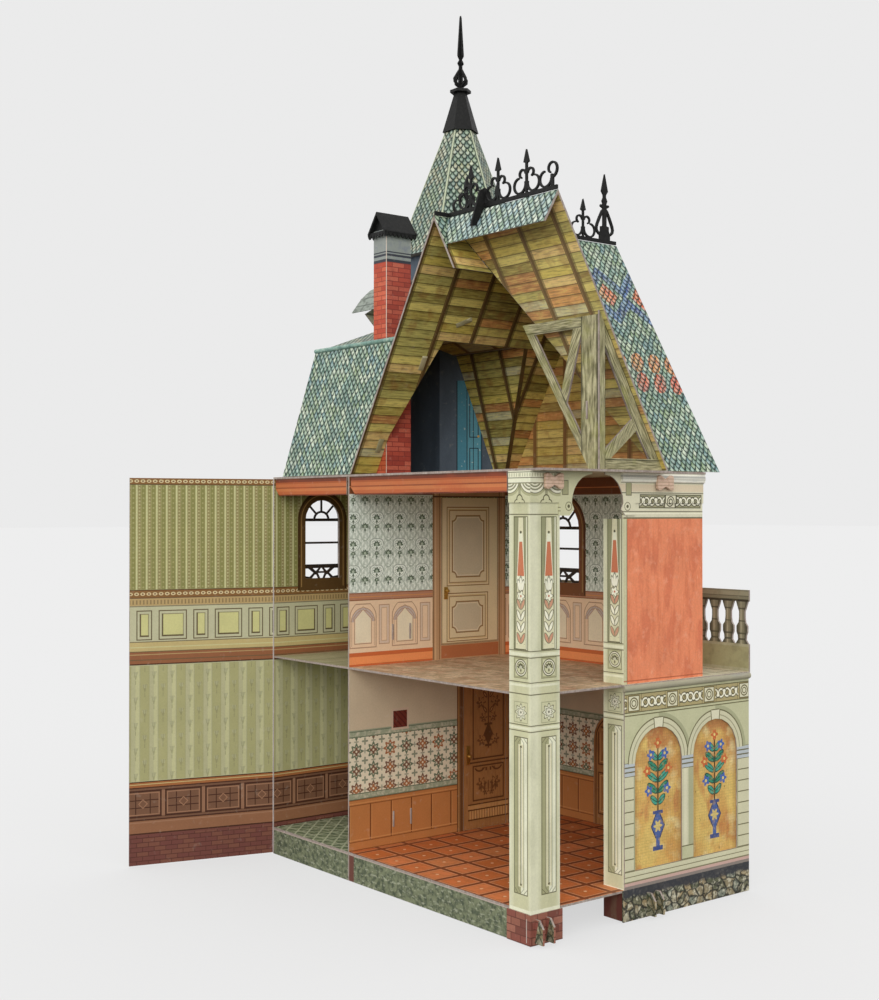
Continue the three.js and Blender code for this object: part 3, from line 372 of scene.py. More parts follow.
def drawRoomPaper(ink, u, v):
    ink.colour = ink.bands(
        v, 0, 210, (0, "brick"), (33, "band"), (47, "oak"), (80, "rail"), (86, "lower"), (206, "skirting")
    )
    # brick courses at the foot
    course = v.cell(4.7)
    end = (u + course.wrap(2) * 6).wrap(12).below(0.8)
    ink(chance((u + course.wrap(2) * 6).cell(12), course).above(0.6) & v.below(31), "band", 0.25)
    ink((v.wrap(4.7).below(0.9) | end) & v.below(31), "joint", 0.8)
    ink.line(v, 33, 1.4, "oakDark")
    ink.line(v, 44.5, 1.2, "oakPale")
    ink.line(v, 47, 1.4, "oakDark")
    # carved panels: a frame, a cross moulding and a rosette
    p, q = u.fold(42, 12), v - 63.5
    field = v.between(48, 79)
    ink(boxEdge(p, q, 18.6, 13).near(0, 0.9) & field, "oakDark")
    ink(boxEdge(p, q, 16.6, 11).near(0, 0.5) & field, "oakPale")
    ink((p.size().near(7.4, 0.5) | q.size().near(3.8, 0.5)) & boxEdge(p, q, 16, 10.4).below(0), "oakDark")
    ink((p.size() + q.size()).near(4.4, 0.6), "oakPale")
    ink(boxEdge(u.fold(42, 33), q, 1.8, 13).below(0) & field, "oakPale", 0.7)
    ink.line(v, 80, 1.2, "oakDark")
    ink.line(v, 83.5, 0.9, "yellow")
    ink.line(v, 86, 1.0, "oakDark")
    # lower wallpaper: broad faint stripes and small sprigs
    lower = v.between(87, 205)
    ink(u.wrap(18.8).below(9.4) & lower, "ground", 0.8)
    ink(u.wrap(18.8).between(10.4, 14.2) & lower, "pale", 0.5)
    ink(u.wrap(9.4).below(0.5) & lower, "figure", 0.35)
    column = u.cell(9.4)
    s, t = u.fold(9.4, 4.7), (v + column.wrap(2) * 13).fold(26, 0)
    sprig = (s.size() - (t + 5) * 0.3).below(0) & t.between(-5, 4)
    ink(sprig & lower, "figure", 0.5)
    ink(sprig & s.wrap(1.6).below(0.6) & t.between(0, 4) & lower, "sage", 0.8)
    ink(s.near(0, 0.4) & t.between(-9, -5) & lower, "figure", 0.6)
    ink.line(v, 206.5, 1.2, "oakDark")
    # upper room
    tops = ink.bands(
        v, 205, 400, (205, "skirting"), (219, "yellow"), (229, "sage"), (266, "tan"),
        (275, "chain"), (282.5, "ground"), (391.5, "chain"),
    )
    ink(v.above(208), tops)
    upper = v.above(210)
    for height, shade in ((211, "line"), (216.5, "tan"), (219.5, "line"), (224, "pale"), (229.5, "line"),
                          (266, "line"), (274.6, "oakDark"), (282.6, "oakDark"), (391.4, "oakDark")):
        ink.line(v, height, 1.0, shade, 0.8, upper)
    ink(u.wrap(3.6).below(1.5) & v.between(268, 272.5), "line", 0.6)
    for row in (278.7, 394.8):
        ring = (u.fold(6.3) / 2.5).hypot((v - row) / 1.7)
        ink(ring.below(1), "link")
        ink(ring.below(0.45), "oak")
    # narrow and wide panels in turn
    w = v - 246.5
    for middle, half in ((19, 7.5), (48.5, 14.2)):
        a = u.fold(59, middle)
        ink(boxEdge(a, w, half, 14.8).near(0, 0.55) & upper, "line")
        inner = boxEdge(a, w, half - 3.2, 11.4)
        ink(inner.below(0), "panel")
        ink(inner.near(0, 0.5), "line", 0.6)
        ink((w.near(-11, 0.8) | (a - (half - 3.6)).near(0, 0.7)) & inner.below(0.4), "line")
    # striped wallpaper with columns of pearls
    stripes = v.between(283.4, 390.8)
    s = u.wrap(roomLook["stripe"])
    ink(s.between(2.0, 6.2) & stripes, "olive")
    ink(s.below(1.3) & stripes, "pale")
    pearls = (s - 8.2).hypot(v.fold(3.4))
    ink(s.between(6.8, 9.6) & stripes, "dots", 0.5)
    ink(pearls.below(0.9) & stripes, "pale", 0.6)
    ink((s - 4.1).hypot(v.fold(5.1)).below(1.0) & stripes, "ground", 0.8)


roomPaper = sharedPrint("roomPaper", roomLook, drawRoomPaper)

plasterLook = {"ground": "#c3bf99", "stone": "#aaa684", "line": "#8b8663", "moss": "#8f9070"}


def drawPlaster(ink, u, v):  # pale washed plaster over a rusticated foot
    ink.use(plasterLook)
    ink.stain(30, 4, 0.48, 0.75, "moss", 0.45)
    foot = v.below(60)
    course = v.cell(15)
    joints = v.wrap(15).below(0.9) | (u + course.wrap(2) * 17).wrap(34).below(0.9)
    ink(foot, "stone", 0.7)
    ink(joints & foot, "line")
    ink(v.near(61.5, 1.6) | v.near(206, 1.2) | v.near(391, 1.5), "line", 0.8)


def archReach(u, v, middle, spring):  # distance from the middle line of a round-headed opening
    return (u - middle).hypot((v - spring) | 0)


def drawWindowFrame(ink, u, v, window, shade="#5d4322"):
    middle, sill, spring, radius = window
    d = archReach(u, v, middle, spring)
    ink(d.below(radius + 10) & v.above(sill - 13), shade)
    ink(d.near(radius + 8.4, 0.7) & v.above(sill - 12), "#3f2a14")
    ink(d.near(radius + 5.2, 0.6) & v.above(sill - 9), "#a07c4a")


leftWindow = (61.5, 291, 354, 22)  # middle, sill, springing and radius
hallWindow = (-189, 290, 346, 26)


def drawRoomWall(ink, direction, start, window=None):
    u, v = ink.along(direction, start), ink.along(up)
    ink.lay(roomPaper, u, v)
    if window:
        drawWindowFrame(ink, ink.along((0, 1, 0)), v, window)


def drawOuterWall(ink, direction, window=None):
    u, v = ink.ways(direction, up)
    drawPlaster(ink, u, v)
    if window:
        drawWindowFrame(ink, u, v, window, "#a9a07c")


panelTurn = math.radians(105)
panelWay = (math.cos(panelTurn), -math.sin(panelTurn), 0)
panelOut = (-math.sin(panelTurn), -math.cos(panelTurn), 0)
panelStart = (-408, -0.3, 0)

leftWallPaper = printed("leftWallPaper", drawRoomWall, back, (0, -8, 0), leftWindow)
leftBackPaper = printed("leftBackPaper", drawRoomWall, right, (-406, 0, 0))
panelPaper = printed("panelPaper", drawRoomWall, panelWay, panelStart)
plasterAlongX = printed("plasterAlongX", drawOuterWall, right, mottle=0.6)


def drawPanelOutside(ink):
    u, v = ink.along(panelWay, panelStart), ink.along(up)
    drawPlaster(ink, u, v)
    for row in (120, 310):
        for middle in (42, 110):
            d = archReach(u, v, middle, row + 20)
            ink(d.below(21) & v.above(row - 35), "#8a8c72")
            ink(d.below(17) & v.above(row - 31), "#4f5a58")
            ink(((u - middle).near(0, 0.9) | (v - row).fold(17).near(0, 0.9))
                & d.below(17) & v.above(row - 31), "#a9a88c")


panelOutside = printed("panelOutside", drawPanelOutside, mottle=0.6)

plasterLeft = printed("plasterLeft", drawOuterWall, back, leftWindow, mottle=0.6)
dress("left_wall", right=leftWallPaper, left=plasterLeft)
dress("left_back_wall", front=leftBackPaper, back=plasterAlongX)
dress("front_wall_panel", ([-c for c in panelOut], panelPaper), (panelOut, panelOutside))
print("left rooms papered")

# the hall's papers
hallLook = {
    "damask": "#eaf0e4", "motif": "#94a28e", "motifPale": "#b6c1ad", "fan": "#5f6e59", "rail": "#b58063",
    "peach": "#e8c9a6", "frame": "#b58f74", "grey": "#b5aaa8", "arch": "#e9dabb", "base": "#ec935a",
    "baseDark": "#c9683a", "crown": "#7f4a2c", "taupe": "#c9b698", "tile": "#e3d8bc", "border": "#9aa085",
    "leaf": "#6b765c", "brown": "#7d5a44", "orange": "#a96c42", "wood": "#bb7a45", "woodDark": "#7c4826",
    "woodPale": "#cf9157",
}


def fans(ink, u, v, reach, zone):  # a small palmette that opens upwards on a foot
    size = u.size()
    leaves = star(u, v, reach, 9, 0.16) & v.above(-1.0)
    foot = (size + (v + 3.0).size() * 0.7).below(1.4) | (size.below(0.5) & v.between(-5.5, 0))
    ink((leaves | foot) & zone, "fan")
    ink(star(u, v - 0.4, reach * 0.4, 7, 0.2) & zone, "motifPale")


def drawHallPaper(ink, u, v):
    ink.colour = ink.bands(
        v, 0, 400, (0, "wood"), (78, "border"), (145.5, "taupe"), (209, "baseDark"), (222, "peach"),
        (275, "rail"), (282.5, "damask"), (380, "crown"),
    )
    # lower wainscot
    ink(u.fold(25.7, 0.2).near(0, 0.8) & v.between(37, 73), "woodDark")
    ink(u.fold(25.7, 1.6).near(0, 0.5) & v.between(37, 73), "woodPale", 0.7)
    for height, shade in ((28.5, "woodDark"), (36.6, "woodDark"), (38.4, "woodPale"), (72.6, "woodDark"),
                          (74.4, "woodPale"), (77.8, "woodDark")):
        ink.line(v, height, 0.9, shade, 0.85)
    # band of rosette tiles
    band = v.between(84, 140)
    ink(band, "tile")
    p, q = u.fold(20.7, 8.7), v.fold(19.3, 106.4)
    turn = chance((u - 8.7 + 10.35).cell(20.7), (v - 106.4 + 9.65).cell(19.3))
    r = p.hypot(q)
    ink(star(p, q, 6.9, 8, 0.2) & band, ink.scale(turn, ["brown", "leaf", "orange"]))
    ink(star(p, q, 4.6, 8, 0.2) & band, "tile", 0.75)
    ink(star(p, q, 3.5, 4, 0.3) & band, ink.scale(turn, ["orange", "brown", "leaf"]))
    ink(r.below(1.1) & band, "tile")
    s, t = u.fold(20.7, 8.7 + 10.35), v.fold(19.3, 106.4 + 9.65)
    ink(star(s, t, 2.6, 4, 0.5) & band, "leaf", 0.8)
    for a, b in ((s, q), (p, t)):
        ink(star(a, b, 1.9, 4, 0.5) & band, "leaf", 0.6)
    ink(v.marks(0.5, 84, 140, 145.3, 78.6), "leaf")
    border = v.between(79, 83.6) | v.between(140.6, 145)
    ink(ink.cloud(3.4, 3).ramp(0.45, 0.65) & border, "tile", 0.5)
    # upper skirting and chair rail
    upper = v.above(210)
    ink(v.between(212, 219.5), "base")
    for height, shade in ((222, "baseDark"), (275.4, "woodDark"), (278.6, "woodPale"), (282.2, "woodDark"),
                          (381, "woodDark"), (388, "base")):
        ink.line(v, height, 1.0, shade, 0.8, upper)
    # peach wainscot: a pointed arch and a narrow panel in turn
    zone = v.between(223, 274.5)
    a, h = u.fold(52, 16.7), v - 246
    tall = (v - 259) | 0
    arch = (a.size() - 15.9 + tall * tall * 0.045) | (h * -1 - 17.8) | (h - 25.5)
    ink(arch.near(0, 0.55) & zone, "frame")
    roof = (a.size() - 10.5 + ((v - 256.5) | 0) * 1.05) | (h * -1 - 14)
    crest = a.hypot(((v - 252.5) | 0) * 0.95) - 12.4
    over = v.above(254) & arch.below(-1.2) & roof.above(0)
    ink(crest.below(2.2) & over, "grey", 0.75)
    ink(crest.marks(0.35, 2.2, -0.2) & over, "frame")
    ink(roof.below(-1) & zone, "arch")
    ink((roof.near(-0.2, 0.45) | roof.near(3.2, 0.3) & arch.below(-1.5)) & zone, "frame")
    n = u.fold(52, 42.7)
    slim = boxEdge(n, h - 4.5, 6.2, 19.5)
    ink(slim.near(0, 0.45) & zone, "frame")
    ink(slim.between(-2.6, -0.6) & zone, "grey", 0.4)
    ink(slim.near(-3, 0.4) & zone, "frame", 0.7)
    # damask: rings round dark palmettes in a net of pale stems and leaves
    paper = v.between(283, 379.5)
    m, c = u.fold(28.7, 4.7), v.fold(26.6, 328.6)
    n, d = u.fold(28.7, 4.7 + 14.35), v.fold(26.6, 321.6)
    wave = ((u - 4.7) * (2 * math.pi / 28.7)).do("COSINE")
    for rise, share in ((0, 0.9), (13.3, 0.7)):
        stem = v.fold(26.6, 328.6 + rise) + wave * 7.5
        ink(stem.size().between(0.9, 1.7) & paper, "motif", share * 0.5)
        twig = v.fold(26.6, 328.6 + rise) - wave * 7.5
        ink(twig.near(0, 0.7) & paper, "motif", share * 0.8)
    for start, rise, reach in ((4.7, 323.6, 2.7), (1.1, 328.6, 2.2)):
        sprigs = star(u.fold(7.175, start), v.fold(8.87, rise), reach, 3, 0.55)
        ink(sprigs & paper, "motif", 0.4)
    ringU, ringV = m / 7.4, (c - 1.2) / 6.0
    heart = ringU.hypot(ringV) - ringU.size() * 0.25 * ringV
    ink(heart.below(1.12) & paper, "fan", 0.45)
    ink(heart.below(1.0) & paper, "damask")
    ink(heart.near(0.76, 0.07) & (m.size() * 0.6 + c).wrap(2.4).below(1.6) & paper, "fan", 0.6)
    fans(ink, m, c - 1.4, 3.9, paper)
    fans(ink, m, c + 7.2, 2.4, paper)
    fans(ink, n, d, 3.6, paper)
    for side in (-1, 1):
        off = n - side * 4.6
        leaf = (off * 0.8 + d * (0.6 * side)).hypot((d * 0.8 - off * (0.6 * side)) / 2.6)
        ink(leaf.below(1.3) & paper, "fan", 0.5)


hallPaper = sharedPrint("hallPaper", hallLook, drawHallPaper)

# the carved leaf and its surround
carved = {"ground": "#a87444", "dark": "#5d3a1e", "pale": "#cf9a5f", "deep": "#7a5230", "line": "#643f21"}


def drawCarvedDoor(ink, u, v):  # a carved leaf: urn, scrolls and spindles
    ink.use(carved)
    p = u - 180
    zone = v.between(28, 206) & u.between(152, 208)
    ink(zone, "ground")
    ink(v.between(38, 48) & u.fold(3.6).near(0, 1.0) & zone, "pale")
    ink(v.between(48, 54) & zone, "pale", 0.7)
    ink((v.marks(0.7, 38, 48.3, 54) | v.near(98, 0.8) | v.near(202, 1)) & zone, "dark")
    ink(boxEdge(p, v - 150, 21, 48).near(0, 0.8) & zone, "dark")
    ink(boxEdge(p, v - 76, 21, 18).near(0, 0.8) & zone, "dark")
    size = p.size()
    ink(size.below(0.8) & v.between(112, 190) & zone, "line")
    for x, y, reach in ((7.5, 178, 4.6), (10, 161, 5.2), (6.5, 145, 4.2),
                        (9, 121, 5.0), (9.5, 75, 5.6), (4, 66, 3.2)):
        ink(star(size - x, v - y, reach, 6, 0.3) & zone, "line", 0.8)
        ink(star(size - x + 0.7, v - y - 0.8, reach * 0.62, 6, 0.35) & zone, "ground")
        ink((size - x).hypot(v - y).below(1.1) & zone, "line")
    leafU, leafV = (size - 4.5) * 0.8 - v.fold(16, 153) * 0.6, (size - 4.5) * 0.6 + v.fold(16, 153) * 0.8
    leaf = leafU.size() / 2.0 + leafV * leafV / 22
    ink(leaf.below(1) & v.between(140, 195) & zone, "line")
    ink(leaf.below(0.4) & v.between(140, 195) & zone, "pale", 0.7)
    urn = size - 6.4 + (v - 127).size() * 0.5
    ink((urn.below(0) | (size.below(5.5) & v.near(137.5, 1.2)) | (size.below(4.5) & v.near(115, 1.2))) & zone,
        "line")
    ink(star(p, v - 192, 4.6, 3, 0.35) & zone, "line")
    ink((size.fold(5) / 1.2).hypot((v - 72) / 6).below(1) & size.below(13) & zone, "line", 0.8)
    ink(boxEdge(size.fold(6, 3), v - 90, 1.1, 1.8).below(0) & size.below(9) & zone, "line")
    ink((size - 12).hypot(v - 96).near(7.5, 0.9) & v.below(92) & zone, "line")


def drawPartition(ink):
    u, v = ink.ways(back, up)
    ink.use(carved)
    ink.lay(hallPaper, u, v)
    # tin recess in the taupe wall
    hole = boxEdge(u - 62.7, v - 153.5, 8.7, 8.5)
    ink(hole.below(2.2), "#cdb49a")
    ink(hole.below(0), "#6e2f24")
    ink((u + v).wrap(6).below(2) & hole.below(0), "#4c1e18", 0.7)
    # carved surround of the lower door
    surround = u.above(137) & v.between(28, 209)
    ink(surround, "deep")
    for middle, shade in ((139.5, "pale"), (143, "dark"), (146.2, "pale"), (149.5, "dark"), (152, "pale")):
        ink.line(u, middle, 1.1, shade, 0.8, surround)
    drawCarvedDoor(ink, u, v)
    # frame of the upper door
    frameZone = v.between(210, 386) & u.between(104.5, 204.2)
    ink(frameZone, "#bb926a")
    for middle, shade in ((105.4, "#6b4a2c"), (108.6, "#d8b288"), (113.6, "#7d5a38"), (195.5, "#7d5a38"),
                          (200.5, "#d8b288"), (203.6, "#6b4a2c")):
        ink.line(u, middle, 1.0, shade, 0.9, frameZone)
    ink(v.between(211, 224) & u.between(116, 194), "#b06a42")
    ink(v.near(379, 0.8) & frameZone, "#5e4126")
    # the rooms behind the hall have no paper out of doors
    ink(u.above(216.5) & v.above(209), plasterLook["ground"])


def drawHallWall(ink, direction, window=None):
    u, v = ink.ways(direction, up)
    ink.lay(hallPaper, u, v)
    if window:
        drawWindowFrame(ink, u, v, window, "#7a4c2e")


def drawPartitionLeft(ink):
    drawRoomWall(ink, back, (0, 0, 0))
    ink(ink.along(back).above(204.2), plasterLook["ground"])


partitionRight = printed("partitionRight", drawPartition)
partitionLeft = printed("partitionLeft", drawPartitionLeft)
hallAlongX = printed("hallAlongX", drawHallWall, right, hallWindow)
hallAlongXLow = printed("hallAlongXLow", drawHallWall, right)
hallAlongY = printed("hallAlongY", drawHallWall, back)

coralLook = {"ground": "#e68b63", "deep": "#cf714c", "pale": "#eda381", "fleck": "#f3c1a2"}


def drawCoral(ink):
    ink.use(coralLook)
    ink.stain(14, 4, 0.5, 0.62, "#bd5a3f", 0.4, (1, 1, 3))
    brush = ink.cloud(5, 4, (1, 1, 7))
    ink(brush.ramp(0.5, 0.72), "deep", 0.6)
    ink.stain(9, 5, 0.55, 0.75, "pale", 0.55)
    ink.stain(2.2, 2, 0.7, 0.78, "fleck", 0.5, (1, 1, 3))


def drawRightWall(ink):  # coral between a cream strip at the fold and the lines below the frieze
    drawCoral(ink)
    u, v = ink.ways(back, up)
    own = Ink(ink.tree, None)
    drawFrieze(own)
    ink(v.above(357.5), own.colour)
    ink(u.below(115.4) & v.below(357.5), "#c9c39d")
    ink.line(u, 115.4, 0.8, "#7a7355")
    ink.line(v, 357.4, 0.9, "#7a7355")
    ink.line(v, 212.5, 1.2, "#a85a3c", 0.8)


def drawCoralBack(ink):
    drawCoral(ink)
    u, v = ink.ways(right, up)
    middle, sill, spring, radius = hallWindow
    d = archReach(u, v, middle, spring)
    ink(d.below(radius + 9) & v.above(sill - 8), "#c9c39d")
    ink(d.near(radius + 9, 0.6) & v.above(sill - 8), "#7a7355")
    ink(v.between(371, 398) | u.marks(8, -262, -4), "#c9c39d")
    ink(v.near(371, 0.6) | v.near(377, 0.5), "#7a7355")


coralBack = printed("coralBack", drawCoralBack, mottle=0.5)


# columns, pilasters, capital and frieze
columnLook = {
    "ground": "#cac8a2", "shade": "#a5a37c", "sunk": "#93936f", "strip": "#d9d4b0", "line": "#5c583c",
    "pendant": "#c67653", "white": "#efecd6", "grey": "#8f8e70", "light": "#e4e3c8", "leaf": "#cd9679",
}


def drawColumnPrint(ink, a, v):  # across is measured from the middle of the sunk panel
    size = a.size()
    ink.colour = columnLook["ground"]
    ink(a.ramp(8, 13.5), "light", 0.9)
    ink((a * -1).ramp(8, 13.5), "light", 0.6)
    # upper panel: a tapering strip with an obelisk, a lily, a flower and four pairs of leaves
    panel = boxEdge(a, v - 303, 8.5, 56)
    ink(panel.below(0), "sunk")
    ink(panel.near(0, 0.45), "line")
    ink(a.near(7.4, 0.8) & panel.below(0), "light", 0.8)
    strip = size + (v - 250) * 0.033
    ink(strip.below(6.8) & panel.below(-0.6), "strip")
    ink(strip.near(6.8, 0.3) & panel.below(-0.6), "line", 0.8)
    spike = size + (v - 340) * 0.085
    ink(spike.below(2.4) & v.between(303, 345), "light")
    ink(spike.below(1.7) & v.between(309, 338), "pendant")
    ink(a.hypot(v - 346).below(1.2), "line")
    row = v.fold(9.6, 256.5)
    leafA, leafB = (size - 2.5) * 0.9 - row * 0.44, ((size - 2.5) * 0.44 + row * 0.9) / 5.2
    leaf = leafA.size() / 1.7 + leafB * leafB
    leaves = v.between(251.4, 289.5)
    ink(leaf.below(1.35) & leaves, "line", 0.8)
    ink(leaf.below(0.85) & leaves, ink.bands(v, 251, 290, (251, "leaf"), (261, "white"), (280.5, "leaf")))
    ink((size + (v - 256) * -0.3).below(0.2) & v.between(248, 256), "line")
    petal = ((size - 2.5 - (v - 301) * 0.18) / 1.5).hypot((v - 301) / 4.6)
    lily = (a / 1.7).hypot((v - 302) / 6.2).do("MINIMUM", petal)
    ink(lily.below(1.25), "line", 0.7)
    ink(lily.below(0.9), "white")
    ink(star(a, v - 292, 4.4, 5, 0.25), "line", 0.8)
    ink(star(a, v - 292, 3.5, 5, 0.25), "white")
    ink(a.hypot(v - 292).below(1.0), "pendant")
    # a shell in a ring on the upper block, a leafy rosette on the lower one
    block = boxEdge(a, v - 231.6, 8.3, 8.6)
    ring = a.hypot(v - 231.6)
    ink(block.near(0, 0.4), "line", 0.8)
    ink(block.between(-1.4, 0) & a.below(7), "shade")
    ink(ring.near(6.9, 0.6) | ring.near(5.3, 0.45), "line", 0.9)
    ink(ring.near(6.1, 0.4), "white")
    ink(star(a, v - 231.2, 4.1, 11, 0.14) & v.above(231), "line")
    ink(star(a, v - 231.2, 2.1, 7, 0.3) & v.above(231), "light", 0.7)
    ink((size + (v - 229.4).size() * 0.6).below(1.1), "line", 0.9)
    ink(boxEdge(a, v - 194, 8.3, 8.6).near(0, 0.35), "grey", 0.7)
    for reach, shade in ((6.4, "line"), (5.5, "light"), (3.7, "line"), (2.9, "white"), (1.1, "line")):
        ink(star(a, v - 194, reach, 8, 0.2), shade, 0.85)
    # mouldings
    for height, width, shade in (
        (361, 1.0, "line"), (246, 0.9, "line"), (243, 2.6, "light"), (240.6, 0.9, "line"),
        (219.6, 0.9, "line"), (217, 2.0, "light"), (209.6, 1.0, "line"),
        (183.5, 0.9, "line"), (181, 2.2, "light"), (178.4, 0.9, "line"),
    ):
        ink.line(v, height, width, shade, 0.85)
    # lower panel: two bevels that meet a flat ridge with a slit
    rise = (v - 107).size()
    low = (size - 8.2) | (rise - 66)
    ink(low.below(0), "shade")
    ink(low.below(0) & a.above(0), "light")
    inner = (size - 3.6) | (size + rise - 65)
    ink(((size - 3.6) | (rise - 60)).below(0), "strip")
    ink(inner.near(0, 0.35) & low.below(-0.5), "line", 0.7)
    ink(((size - 8.2).size() - rise + 61).near(0, 0.5) & low.below(-0.6) & size.above(3.6), "line", 0.7)
    ink(low.near(0, 0.45), "line", 0.9)
    ink(size.below(0.5) & v.near(107, 57), "line")
    ink(a.near(1.1, 0.4) & v.near(107, 57), "white")
    ink(size.hypot(rise - 58).below(1.1), "line")
    # brick foot
    ink(v.below(26), "#6e3f36")
    ink(v.near(27.6, 1.4), "light")


columnPrint = sharedPrint("columnPrint", columnLook, drawColumnPrint)


def drawColumn(ink, direction, middle):
    u, v = ink.ways(direction, up)
    ink.lay(columnPrint, u - middle, v)
    ink.stain(14, 4, 0.5, 0.72, "#9fa07c", 0.3, (1, 1, 3))


columnFront = printed("columnFront", drawColumn, right, -12.2)
columnSide = printed("columnSide", drawColumn, back, 20.9)
pilaster = printed("pilaster", drawColumn, right, -11)


def drawCapital(ink, a, v):  # swags over a trefoil, from -18 to 18 round the middle
    ink.use(columnLook)
    size = a.size()
    ink(v.between(388, 398), "light")
    for height in (387.6, 392, 396.8, 364, 367):
        ink.line(v, height, 0.8, "line", 0.8)
    fan = (size - 13).hypot(v - 392)
    for reach, shade in (
        (15.5, "shade"), (13, "white"), (10.4, "sunk"), (9.2, "white"),
        (7.8, "sunk"), (6.6, "white"), (5.2, "sunk"),
    ):
        ink(fan.below(reach) & v.below(387), shade, 0.85)
    for reach in (13, 10.4, 7.8, 5.2):
        ink(fan.near(reach, 0.35) & v.below(387), "line", 0.85)
    ink(v.between(393, 396) & (size * 1.0).wrap(3).below(1.5), "shade", 0.6)
    ink((size - 1.5).below(0) & v.between(377, 388), "line", 0.5)
    leaf = (size - 3.4).hypot(v - 370.5) / 3.1
    middle = a.hypot(v - 374.2) / 3.4
    ink(leaf.do("MINIMUM", middle).near(1, 0.16), "line")


def drawCapitalFront(ink):
    u, v = ink.ways(right, up)
    drawCapital(ink, u + 12.4, v)


def drawBracket(ink, a, v, reach=9.5):  # the scroll's eye and a small sunk square
    ink.use(columnLook)
    ink(a.near(5.5, 3.1) & v.between(378, 390), "shade")
    ink(boxEdge(a - 5.5, v - 384, 3.4, 6).near(0, 0.4), "line", 0.8)
    eye = (a - reach).hypot(v - 368)
    ink(eye.below(1.5), "line")
    ink(eye.near(3.6, 0.45), "line", 0.7)


capitalFront = printed("capitalFront", drawCapitalFront)


def drawCapitalSide(ink):
    u, v = ink.ways(back, up)
    ink.use(columnLook)
    own = Ink(ink.tree, None)
    drawCapital(own, u - 17, v)
    ink(u.below(33.5), own.colour)
    drawBracket(ink, u - 33.5, v)


capitalSide = printed("capitalSide", drawCapitalSide)

friezeLook = {
    "ground": "#dcd7ba", "panel": "#a09d7c", "line": "#4d4932", "salmon": "#dcc3a4", "scroll": "#f0ecd4",
}


def scrolls(ink, u, v, row, pitch, height, zone):  # a row of leafy scrolls
    cream, dark = friezeLook["scroll"], friezeLook["line"]
    p, q = u.fold(pitch), v - row
    ink(p.hypot(q).near(height * 0.34, 0.9) & zone, cream)
    for reach in (height * 0.44, height * 0.2):
        ink(p.hypot(q).near(reach, 0.45) & zone, dark, 0.9)
    wave = (u * (math.pi / pitch)).do("SINE") * height * 0.38
    ink((q - wave).near(0, 0.7) & zone, dark, 0.8)
    ink(u.fold(pitch, pitch / 2).hypot(q - wave * 0.5).below(1.3) & zone, cream)


def drawFrieze(ink):
    u, v = ink.ways(back, up)
    ink.use(friezeLook)
    for height, shade in ((358, "line"), (361.6, "scroll"), (363.4, "line"), (380.2, "line")):
        ink.line(v, height, 0.9, shade, 0.8)
    for middle, half in ((147.3, 16.2), (196, 17)):
        band = boxEdge(u - middle, v - 372.7, half, 5.9)
        ink(band.below(0), "panel")
        ink(band.near(0, 0.4), "line")
        scrolls(ink, u, v, 372.7, 8.2, 10, band.below(-0.6))
    box = boxEdge(u - 171.4, v - 372.7, 7, 5.9)
    ink(box.near(0, 0.45), "line")
    rose = (u - 171.4).hypot(v - 372.7)
    ink(rose.marks(0.5, 4.4, 2.2), "line")
    ink(v.between(381.4, 388), "salmon", 0.6)
    drawBracket(ink, 122 - u, v, 7)


frieze = printed("frieze", drawFrieze)
coralRight = printed("coralRight", drawRightWall, mottle=0.5)


def drawCornice(ink):
    v = ink.along(up)
    ink.colour = ink.bands(
        v, 385, 400, (385, "#a5a088"), (389.5, "#f6f3e2"), (392, "#d8d5c6"),
        (394, "#b4b2a8"), (396, "#f6f3e2"),
    )
    ink.stain(20, 3, 0.55, 0.7, "#8f929a", 0.4, (1, 3, 1))


cornice = printed("cornice", drawCornice)


# arcade, mural, stone and brick
arcadeLook = {
    "ground": "#c3c29c", "shadow": "#a3a481", "stone": "#d0ccab", "line": "#6d6848", "blue": "#b9bfc0",
    "tan": "#b1a375", "dark": "#6c623d", "pale": "#dcd8ba", "moss": "#8f9469",
}
niches = (155, 232.5)  # middles of the two niches
nicheSpring, nicheRadius = 138, 31


